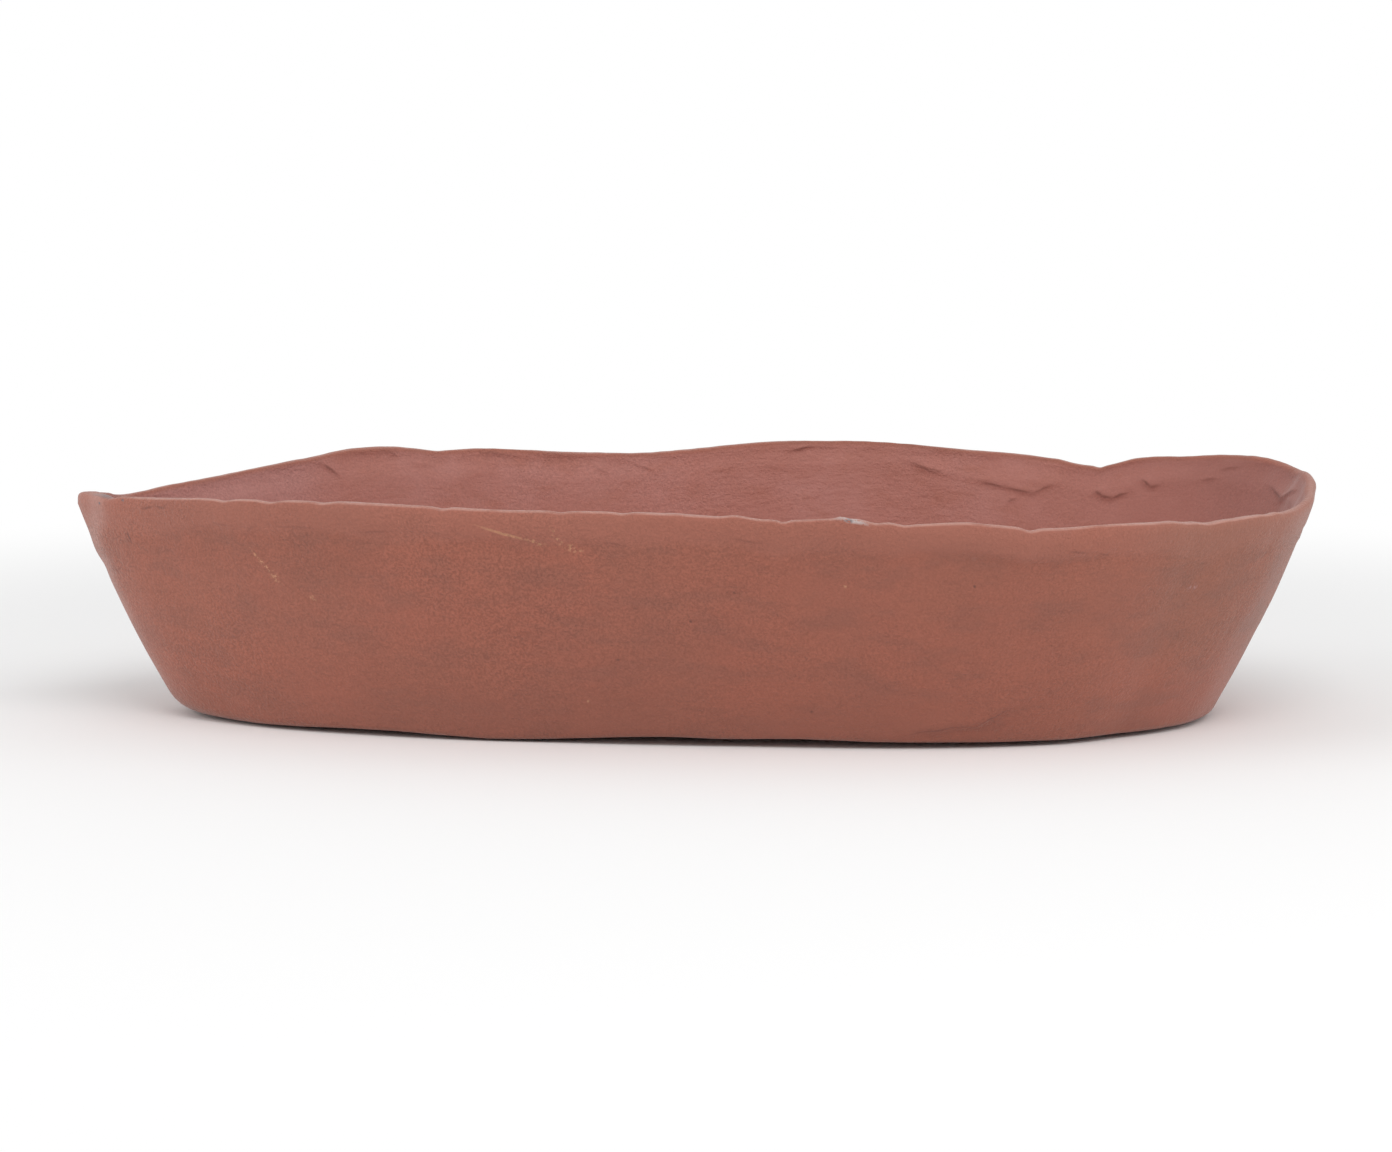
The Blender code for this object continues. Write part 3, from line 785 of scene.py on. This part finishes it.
def sandGrainGroup():  # the sandy, hand-smoothed face of unglazed clay
    inputs = {"Vector": None, "Sand": 1100.0, "Mottle": 22.0}
    outputs = {"Mottle": 0.0, "Sand": 0.0, "Height": 0.0}
    group, source, target = newGroup("sandGrain", inputs, outputs)
    form, place = grainForm, source["Vector"]
    sand = noiseAt(group, place, source["Sand"], *form["sand"])
    peel = noiseAt(group, place, times(group, source["Sand"], form["peelScale"]))
    mottle = noiseAt(group, place, source["Mottle"], *form["mottle"])
    patchy = ramp(group, noiseAt(group, place, *form["patches"]), *form["patchStep"])
    rise = calc(group, "ADD", times(group, peel, form["peelRise"]), times(group, sand, form["sandRise"]))
    uneven = times(group, centred(group, sand), patchy)
    feed(group, target, {
        "Mottle": ramp(group, mottle, *form["mottleStep"]),
        "Sand": calc(group, "ADD", uneven, 0.5),
        "Height": times(group, rise, patchy),
    })
    return group


def grogSpecksGroup():  # scattered grains that burn to another colour
    inputs = {"Vector": None, "Scale": 160.0, "Share": 0.1}
    group, source, target = newGroup("grogSpecks", inputs, {"Mask": 0.0})
    cells = addNode(group, "ShaderNodeTexVoronoi", {"Vector": source["Vector"], "Scale": source["Scale"]})
    chosen = addNode(group, "ShaderNodeSeparateColor", {"Color": cells.outputs["Color"]}).outputs[0]
    size = times(group, calc(group, "LESS_THAN", chosen, source["Share"]), speckForm["size"])
    inputs = {"Value": cells.outputs["Distance"], "From Min": size, "From Max": 0.0}
    near = addNode(group, "ShaderNodeMapRange", inputs).outputs["Result"]
    feed(group, target, {"Mask": times(group, near, calc(group, "GREATER_THAN", size, speckForm["least"]))})
    return group


def drawnMarkGroup():  # adds an oval patch to a canvas: x and y are places on the skin, z is the mask so far
    inputs = {"Canvas": None, "Spot": None, "Turn": None, "Size": None}
    inputs.update({"Grain": 0.5, "Cover": 0.5, "Soft": 0.3, "Strength": 1.0})
    group, source, target = newGroup("drawnMark", inputs, {"Canvas": None})
    canvas = addNode(group, "ShaderNodeSeparateXYZ", {0: source["Canvas"]}).outputs
    spot = {"X": canvas["X"], "Y": canvas["Y"]}
    flat = addNode(group, "ShaderNodeCombineXYZ", spot).outputs[0]
    placed = {"Vector": flat, "Location": source["Spot"], "Rotation": source["Turn"], "Scale": source["Size"]}
    local = addNode(group, "ShaderNodeMapping", placed, vector_type="TEXTURE").outputs[0]
    inputs = {"Value": lengthOf(group, local), "From Min": 1.0, "From Max": source["Soft"]}
    oval = addNode(group, "ShaderNodeMapRange", inputs).outputs["Result"]
    level = calc(group, "ADD", source["Grain"], centred(group, source["Cover"]))
    mask = times(group, oval, ramp(group, level, *markForm["edge"]))
    total = calc(group, "MAXIMUM", canvas["Z"], times(group, mask, source["Strength"]))
    feed(group, target, {"Canvas": addNode(group, "ShaderNodeCombineXYZ", {**spot, "Z": total}).outputs[0]})
    return group


sandGrain = sandGrainGroup()
grogSpecks = grogSpecksGroup()
drawnMark = drawnMarkGroup()


def useGroup(tree, group, inputs):
    return addNode(tree, "ShaderNodeGroup", inputs, node_tree=group).outputs


def newMaterial(name):
    material = bpy.data.materials.new(name)
    material.use_nodes = True
    tree = material.node_tree
    shader = tree.nodes["Principled BSDF"]
    where = tree.nodes.new("ShaderNodeTexCoord").outputs["Object"]
    return material, tree, shader, where


def colour(red, green, blue):
    return (red, green, blue, 1.0)


# The fired clay: colours are linear
clayFinish = {
    "deep": colour(0.289, 0.0945, 0.0605),
    "rust": colour(0.35, 0.1085, 0.069),  # redder, in broad patches
    "brown": colour(0.256, 0.093, 0.064),  # in small blotches
    "warm": colour(0.33, 0.1125, 0.073),
    "band": colour(0.346, 0.121, 0.0825),
    "inside": colour(0.398, 0.156, 0.124),
    "bloom": colour(0.428, 0.183, 0.154),  # pinker dust, in patches on the inside
    "shaded": colour(0.345, 0.13, 0.104),
    # painted light on the inside of the bow end, whose wall faces the lamps
    "litInsideLeft": colour(0.43, 0.195, 0.172),
    "endShade": colour(0.88, 0.92, 0.95),
    "blunt": colour(0.88, 0.96, 0.95),
    "shoulder": colour(0.93, 0.92, 0.91),
    # paler: for grog specks, and along the lip's crown, partly wear and partly a painted highlight on its lit
    # top
    "lip": colour(0.45, 0.22, 0.175),
    "bowSheen": colour(0.44, 0.25, 0.215),  # painted sheen, pale along the bow where its side faces the light
    "foot": colour(0.262, 0.094, 0.065),
    # dark: for grog specks, and for painted shade in the creases under folds
    "crease": colour(0.17, 0.058, 0.042),
    "roughness": 0.78,
    "roughSpread": 0.05,
    "wallGrain": {"Sand": 1250.0, "Mottle": 24.0},
    "specks": ((210.0, 0.1, 0.45, "crease"), (145.0, 0.035, 0.35, "lip")),  # scale, share, strength, colour
    "sandShade": 0.15,
    "sandSpan": 0.25,
    "sandBump": 0.00048,
    "streakBump": 0.45,  # against the sand's own height
    "wrinkleBump": 1.4,  # on the inside, where the clay was drawn up by hand
    "crownMiddle": 0.0002,
    "bandStray": 0.01,
    "creaseWide": 0.00055,
    "creaseDrop": 0.6,  # below the fold's edge, against its width
    "creaseCover": 0.9,
    "creaseSoft": 0.25,
    "creaseFull": 0.0012,  # a fold this high has the darkest crease
    "creaseFrom": 0.0006,  # and one lower than this has none
    "creaseDark": 0.6,
    "dust": 0.26,  # sheen of clay dust, seen at a slant
    "dustRoughness": 0.4,
    "swirl": {"Scale": 330.0, "Detail": 2.0},
    "wobble": 0.0007,  # how far drawn lines stray
}
# Marks on the skin, by colour: direction, mm below the lip, half length, half width, tilt, cover
tanScrape = colour(0.47, 0.22, 0.125)
greyWear = colour(0.5, 0.41, 0.39)
slate = colour(0.125, 0.118, 0.13)
# painted shade in small nicks and pits
nickShade = colour(0.17, 0.06, 0.044)
mauve = colour(0.37, 0.19, 0.175)
skinMarks = (
    (tanScrape, metres((
        (250.2, 6.8, 11, 0.6, 16, 0.62), (253.2, 9.3, 4.2, 1.3, 16, 0.46),
        (255.6, 7.5, 4.2, 1.6, 62, 0.43), (257.3, 11.4, 3.8, 1.6, 20, 0.47),
        (219.5, 19.2, 6.6, 1, 53, 0.48), (220.8, 23.8, 3.2, 1.8, 55, 0.47),
        (225.2, 30.5, 2, 1.2, 10, 0.47), (257.1, 60.3, 0.6, 0.6, 0, 0.8),
        (283.2, 20.8, 0.9, 0.6, 30, 0.52),
    ), 1, 2, 3)),
    (greyWear, metres((
        (283.1, 0.4, 6, 0.9, 4, 0.6),
    ), 1, 2, 3)),
    (slate, metres((
        (282.8, 0.5, 1.7, 0.6, 0, 0.62), (193.0, -0.7, 7.8, 1.2, 2, 0.72),
        (193.8, 2.2, 0.6, 0.5, 20, 0.6), (199.2, 1, 0.8, 0.5, 0, 0.6),
    ), 1, 2, 3)),
    # painted shade in the nicks, pits and dent edges these marks sit on
    (nickShade, metres((
        (269.1, 33.3, 0.9, 0.6, 30, 0.66), (198.0, 12.4, 2.6, 0.6, 84, 0.58),
        (261.1, 46.6, 0.8, 0.6, 0, 0.66), (293.6, 18.8, 0.8, 0.6, 60, 0.6),
        (281.6, 61.6, 1, 0.6, 0, 0.6), (273.2, 24, 3, 0.5, 3, 0.5),
    ), 1, 2, 3)),
    (mauve, metres((
        (317.6, 20.8, 3, 1.7, -10, 0.45),
    ), 1, 2, 3)),
)


def clayBase(tree, where, grain):
    base = tint(tree, grain["Mottle"], clayFinish["deep"], clayFinish["warm"])
    for scale, share, strength, paint in clayFinish["specks"]:
        specks = useGroup(tree, grogSpecks, {"Vector": where, "Scale": scale, "Share": share})["Mask"]
        base = tint(tree, times(tree, specks, strength), base, clayFinish[paint])
    return base


def clayClose(tree, shader, base, grain, height, roughness, grit=1.0):
    sand = times(tree, centred(tree, grain["Sand"]), grit)
    span, shade, spread = clayFinish["sandSpan"], clayFinish["sandShade"], clayFinish["roughSpread"]
    feed(tree, shader.inputs, {
        "Base Color": vectorCalc(tree, "SCALE", base, ramp(tree, sand, -span, span, 1 - shade, 1 + shade)),
        "Normal": bumped(tree, height, clayFinish["sandBump"]),
        "Roughness": ramp(tree, grain["Mottle"], 0.0, 1.0, roughness - spread, roughness + spread),
    })
    shader.inputs["Sheen Weight"].default_value = clayFinish["dust"]
    shader.inputs["Sheen Roughness"].default_value = clayFinish["dustRoughness"]


def drawMark(
    tree, canvas, grain, direction, depth, half, wide, turn, cover, soft=markForm["soft"], strength=1.0
):
    inputs = {
        "Canvas": canvas, "Spot": (arcAt(direction), depth, 0), "Turn": (0, 0, turn), "Size": (half, wide, 1),
        "Grain": grain, "Cover": cover, "Soft": soft, "Strength": strength,
    }
    return useGroup(tree, drawnMark, inputs)["Canvas"]


def strayed(tree, skin, where):  # the skin's coordinates, unsettled so that lines drawn on them wander
    swirl = addNode(tree, "ShaderNodeTexNoise", {"Vector": where, **clayFinish["swirl"]}).outputs["Color"]
    aside = vectorCalc(tree, "SUBTRACT", swirl, (0.5, 0.5, 0.5))
    shifted = vectorCalc(tree, "ADD", skin, vectorCalc(tree, "SCALE", aside, clayFinish["wobble"]))
    return vectorCalc(tree, "MULTIPLY", shifted, (1, 1, 0))


def creaseShadeMask(tree, canvas, grain):  # painted shade: a thin dark line under each fold's edge
    wide, cover, soft = clayFinish["creaseWide"], clayFinish["creaseCover"], clayFinish["creaseSoft"]
    for folds, side, turned in ((innerFolds, -1, math.pi), (outerFolds, 1, 0)):
        for direction, below, half, tilt, height in folds:
            if height < clayFinish["creaseFrom"]:
                continue
            depth = side * (below + wide * clayFinish["creaseDrop"])
            turn = math.radians(tilt) + turned
            strength = min(height / clayFinish["creaseFull"], 1.0)
            canvas = drawMark(tree, canvas, grain, direction, depth, half, wide, turn, cover, soft, strength)
    return axisOf(tree, canvas, "Z")


# Where the wall's looks come and go, as steps
wallSteps = {
    # by metres below the lip, less than 0 on the inside
    "outside": (-0.0004, 0.0004),
    "inside": (0.0002, -0.002, 0.0, 0.88),
    "band": (0.0115, 0.0075, 0.0, 0.8),
    "bowSheenDown": (0.012, 0.05, 1.0, 0.25),
    "wrinkleDown": (-0.045, -0.022, 0.35, 1.0),
    "reliefInside": (-0.004, -0.001, 0.75, 1.0),
    "gritBand": (0.012, 0.006, 1.0, 0.45),
    # by height over the ground
    "bluntUp": (0.012, 0.032),
    "shoulderUp": (0.046, 0.058),
    "low": (0.02, 0.0025, 0.0, 0.35),
    "gritLow": (0.006, 0.032, 0.45, 1.0),
    # by the place along X
    "shaded": (0.11, 0.17, 0.0, 0.75),
    "endShade": (0.158, 0.185),
    "litInsideLeft": (-0.118, -0.138, 0.0, 0.95),
    "blunt": (0.125, 0.155),
    "shoulder": (-0.088, -0.108),
    "shoulderEnd": (-0.178, -0.165),
    "lowRight": (0.07, 0.14, 1.0, 0.2),
    "crownRight": (0.172, 0.19, 1.0, 0.3),
    "crownLeft": (-0.184, -0.176, 0.2, 1.0),
    "wrinkleLeft": (-0.06, 0.03, 0.4, 1.0),
    "wrinkleRight": (0.08, 0.13, 1.0, 0.35),
    "reliefRight": (0.08, 0.15, 1.0, 0.5),
    "grit": (-0.03, 0.03, 2.15, 1.1),
    # by the distance from a line
    "crown": (0.00036, 0.0001, 0.0, 0.9),
    "bowSheenSpread": (0.034, 0.008, 0.0, 0.12),
    "bowSheen": (0.008, 0.0004, 0.0, 0.55),
}
# Its patches: a noise, and the step read from it
wallPatches = {
    "rust": ((17.0, 4.0, 0.6), (0.4, 0.62, 0.0, 0.55)),
    "brown": ((1.0, 4.0, 0.62), (0.44, 0.68, 0.0, 0.55)),
    "bloom": ((34.0, 4.0, 0.6), (0.42, 0.66, 0.0, 0.8)),
    "smears": ((1.0, 5.0, 0.68), (0.46, 0.72, 0.0, 0.4)),
    "lipWearAndHighlight": ((120.0, 3.0), (0.3, 0.56, 0.35, 1.0)),
    "bowSheenPatches": ((95.0, 3.0), (0.34, 0.6, 0.3, 1.0)),
}
wallNoise = {
    "bandEdge": (38.0, 3.0),
    "crumbs": (1000.0, 2.0, 0.6),
    "streaks": (1.0, 3.0, 0.6),
    "wrinkles": (1.0, 3.0, 0.55),
}
wallStretch = {  # scales that draw a noise out along the wall
    "brown": (48, 48, 135), "smears": (70, 150, 1), "streaks": (70, 620, 1), "wrinkles": (150, 480, 1),
}
# The ridge down the bow, where a pale line of painted sheen runs, as lengths along the lip from this
# direction, between two depths
bowRidge = {"direction": 181, "depths": (0.002, 0.018), "top": 0.0168, "foot": 0.006}


def wallMaterial():
    material, tree, shader, where = newMaterial("fired_clay_wall")
    skin = addNode(tree, "ShaderNodeUVMap", uv_map="skin").outputs["UV"]
    along, depth = axisOf(tree, skin, "X"), axisOf(tree, skin, "Y")
    across, height = axisOf(tree, where, "X"), axisOf(tree, where, "Z")
    grain = useGroup(tree, sandGrain, {"Vector": where, **clayFinish["wallGrain"]})

    def step(name, value):
        return ramp(tree, value, *wallSteps[name])

    def patch(name, vector=where):
        cloud, edge = wallPatches[name]
        return ramp(tree, noiseAt(tree, vector, *cloud), *edge)

    def layer(paint, under, *masks, mode="MIX"):
        return tint(tree, times(tree, *masks), under, clayFinish[paint], mode)

    outside, inside = step("outside", depth), step("inside", depth)
    stray = centred(tree, noiseAt(tree, where, *wallNoise["bandEdge"]))
    bandDepth = calc(tree, "ADD", depth, times(tree, stray, clayFinish["bandStray"]))
    base = clayBase(tree, where, grain)
    base = layer("rust", base, patch("rust"))
    base = layer("brown", base, patch("brown", scaledBy(tree, where, wallStretch["brown"])))
    base = layer("band", base, step("band", bandDepth), outside)

    lining = layer("bloom", clayFinish["inside"], patch("bloom"))
    lining = layer("warm", lining, patch("smears", scaledBy(tree, skin, wallStretch["smears"])))
    lining = layer("shaded", lining, step("shaded", across))
    lining = layer("endShade", lining, step("endShade", across), mode="MULTIPLY")
    # painted light: the inside at the bow end made paler, where its wall faces the lamps
    lining = layer("litInsideLeft", lining, step("litInsideLeft", across))
    base = tint(tree, inside, base, lining)

    base = layer("blunt", base, step("blunt", across), step("bluntUp", height), outside, mode="MULTIPLY")
    shoulder = times(tree, step("shoulder", across), step("shoulderUp", height), step("shoulderEnd", across))
    base = layer("shoulder", base, shoulder, outside, mode="MULTIPLY")
    base = layer("foot", base, step("low", height), step("lowRight", across), outside)
    # the lip's crown: a pale tint, partly wear in patches and partly a painted highlight where its top faces
    # the light
    crown = step("crown", apart(tree, depth, clayFinish["crownMiddle"]))
    crown = times(tree, crown, step("crownRight", across), step("crownLeft", across))
    base = layer("lip", base, crown, patch("lipWearAndHighlight"))
    # painted sheen: a pale tint over the bow end and a paler line down its ridge, broken into patches
    bow = arcAt(bowRidge["direction"])
    base = layer("bowSheen", base, step("bowSheenSpread", apart(tree, along, bow)), outside)
    bowSheenAt = ramp(tree, depth, *bowRidge["depths"], bow + bowRidge["top"], bow + bowRidge["foot"])
    bowSheen = times(tree, step("bowSheen", apart(tree, along, bowSheenAt)), step("bowSheenDown", depth))
    base = layer("bowSheen", base, bowSheen, patch("bowSheenPatches"), outside)

    wandering = strayed(tree, skin, where)
    crumbs = noiseAt(tree, where, *wallNoise["crumbs"])
    # painted shade in the creases under the folds
    base = layer("crease", base, creaseShadeMask(tree, wandering, crumbs), clayFinish["creaseDark"])
    for paint, marks in skinMarks:
        canvas = wandering
        for direction, below, half, wide, tilt, cover in marks:
            canvas = drawMark(tree, canvas, crumbs, direction, below, half, wide, math.radians(tilt), cover)
        base = tint(tree, axisOf(tree, canvas, "Z"), base, paint)

    streaks = noiseAt(tree, scaledBy(tree, skin, wallStretch["streaks"]), *wallNoise["streaks"])
    relief = calc(tree, "ADD", grain["Height"], times(tree, streaks, clayFinish["streakBump"]))
    wrinkles = noiseAt(tree, scaledBy(tree, skin, wallStretch["wrinkles"]), *wallNoise["wrinkles"])
    wrinkles = times(tree, wrinkles, clayFinish["wrinkleBump"], step("wrinkleLeft", across))
    wrinkles = times(tree, wrinkles, step("wrinkleRight", across), step("wrinkleDown", depth), inside)
    relief = calc(tree, "ADD", relief, wrinkles)
    relief = times(tree, relief, step("reliefRight", across), step("reliefInside", depth))
    grit = times(tree, step("gritBand", depth), step("gritLow", height), step("grit", across))
    clayClose(tree, shader, base, grain, relief, clayFinish["roughness"], grit)
    return material


floorFinish = {"grain": {"Sand": 950.0, "Mottle": 26.0}, "over": "inside", "share": 0.55, "rougher": 0.0}
footFinish = {"grain": {"Sand": 800.0, "Mottle": 60.0}, "over": "foot", "share": 0.5, "rougher": 0.08}


def plainClay(name, finish):
    material, tree, shader, where = newMaterial(name)
    grain = useGroup(tree, sandGrain, {"Vector": where, **finish["grain"]})
    base = tint(tree, finish["share"], clayBase(tree, where, grain), clayFinish[finish["over"]])
    clayClose(tree, shader, base, grain, grain["Height"], clayFinish["roughness"] + finish["rougher"])
    return material


# Net and wire: two colours in patches, the roughness of each, and a fine grain with its depth and strength
netFinish = {
    "clean": colour(0.016, 0.017, 0.019), "stained": colour(0.06, 0.056, 0.052), "metal": 0.0,
    "patches": (180.0, 4.0, 0.6), "edge": (0.48, 0.72), "rough": (0.42, 0.75),
    "grain": (1600.0, 2.0), "bump": (0.00004, 0.6),
}
wireFinish = {
    "clean": colour(0.68, 0.67, 0.66), "stained": colour(0.42, 0.4, 0.38), "metal": 1.0,
    "patches": (260.0, 4.0, 0.6), "edge": (0.4, 0.68), "rough": (0.28, 0.48),
    "grain": (2400.0, 2.0), "bump": (0.00002, 0.4),
}


def stainedMaterial(name, finish):
    material, tree, shader, where = newMaterial(name)
    stain = ramp(tree, noiseAt(tree, where, *finish["patches"]), *finish["edge"])
    feed(tree, shader.inputs, {
        "Base Color": tint(tree, stain, finish["clean"], finish["stained"]),
        "Roughness": ramp(tree, stain, 0.0, 1.0, *finish["rough"]),
        "Normal": bumped(tree, noiseAt(tree, where, *finish["grain"]), *finish["bump"]),
    })
    shader.inputs["Metallic"].default_value = finish["metal"]
    return material


makeWall(wallMaterial())
print("clay: wall and lip made")
makeFloor(plainClay("fired_clay_floor", floorFinish))
print("clay: floor cut")
footClay = plainClay("fired_clay_foot", footFinish)
for footNode in ("foot_front_left", "foot_front_right", "foot_back_left", "foot_back_right"):
    makeFoot(footNode, footClay)
print("clay: feet pressed on")
netPlastic = stainedMaterial("moulded_net", netFinish)
clipWire = stainedMaterial("drawn_wire", wireFinish)
for drainSide in drainSides:
    makeNet(drainSide, netPlastic)
    makeClip(drainSide, clipWire)
print("drains: nets and clips in place")

# The studio: a pale floor that fades to white, a white sky and soft lamps
studio = {
    "floorSize": 6.0,
    "floorColour": colour(0.92, 0.92, 0.92),
    "white": colour(1, 1, 1),
    "fadeStart": 0.3,
    "fadeEnd": 0.62,
    "skyStrength": 0.62,
    "lamps": (  # name, place, size, watts
        ("key", (0.35, -0.95, 1.35), (1.3, 0.9), 9.5),
        ("left", (-1.25, -0.35, 0.55), (0.8, 0.8), 4.9),
        ("right", (1.25, -0.35, 0.55), (0.8, 0.8), 3.3),
    ),
    "target": Vector((0, 0, 0.04)),
}


def seenDirectly(tree):  # 1 for what the camera, a gloss or a glass sees
    path = tree.nodes.new("ShaderNodeLightPath").outputs
    seen = calc(tree, "ADD", path["Is Camera Ray"], path["Is Glossy Ray"])
    return calc(tree, "ADD", seen, path["Is Transmission Ray"], clamp=True)


def makeFloorStage():
    material = bpy.data.materials.new("studio_floor")
    material.use_nodes = True
    tree = material.node_tree
    tree.nodes.clear()
    where = tree.nodes.new("ShaderNodeTexCoord").outputs["Object"]
    far = ramp(tree, lengthOf(tree, where), studio["fadeStart"], studio["fadeEnd"])
    paint = addNode(tree, "ShaderNodeBsdfDiffuse", {"Color": studio["floorColour"]})
    glow = addNode(tree, "ShaderNodeEmission", {"Color": studio["white"], "Strength": 1.0})
    fade = times(tree, far, seenDirectly(tree))
    mix = addNode(tree, "ShaderNodeMixShader", {0: fade, 1: paint.outputs[0], 2: glow.outputs[0]})
    output = tree.nodes.new("ShaderNodeOutputMaterial")
    tree.links.new(mix.outputs[0], output.inputs["Surface"])
    bm = bmesh.new()
    bmesh.ops.create_grid(bm, x_segments=1, y_segments=1, size=studio["floorSize"] / 2)
    stage = meshObject("studio_floor", bm)
    stage.data.materials.append(material)


def makeSky():
    world = bpy.data.worlds.new("studio_sky")
    bpy.context.scene.world = world
    world.use_nodes = True
    tree = world.node_tree
    tree.nodes.clear()
    lit, seen = (
        addNode(tree, "ShaderNodeBackground", {"Color": studio["white"], "Strength": strength}).outputs[0]
        for strength in (studio["skyStrength"], 1.0)
    )
    mix = addNode(tree, "ShaderNodeMixShader", {0: seenDirectly(tree), 1: lit, 2: seen})
    output = tree.nodes.new("ShaderNodeOutputWorld")
    tree.links.new(mix.outputs[0], output.inputs["Surface"])


def makeLamps():
    for name, place, (wide, high), watts in studio["lamps"]:
        lamp = bpy.data.lights.new(name, "AREA")
        lamp.shape = "RECTANGLE"
        lamp.size = wide
        lamp.size_y = high
        lamp.energy = watts
        holder = bpy.data.objects.new(name, lamp)
        holder.location = place
        holder.rotation_euler = (studio["target"] - holder.location).to_track_quat("-Z", "Y").to_euler()
        bpy.context.scene.collection.objects.link(holder)


# The camera of the photograph: its lens in pixels of a frame 1392 wide
photoCamera = {
    "place": (-0.0003, -1.25, 0.2055), "tiltDown": 7.348, "sensor": 36,
    "lensPixels": 3890, "frameWidth": 1392,
}


def makeCamera():
    lens = bpy.data.cameras.new("camera")
    lens.sensor_width = photoCamera["sensor"]
    lens.lens = photoCamera["lensPixels"] / photoCamera["frameWidth"] * lens.sensor_width
    camera = bpy.data.objects.new("camera", lens)
    camera.location = photoCamera["place"]
    camera.rotation_euler = (math.radians(90 - photoCamera["tiltDown"]), 0, 0)
    bpy.context.scene.collection.objects.link(camera)
    bpy.context.scene.camera = camera


makeFloorStage()
makeSky()
makeLamps()
makeCamera()
bpy.context.scene.view_settings.view_transform = "Standard"
print("studio: floor, sky, lamps and camera set")
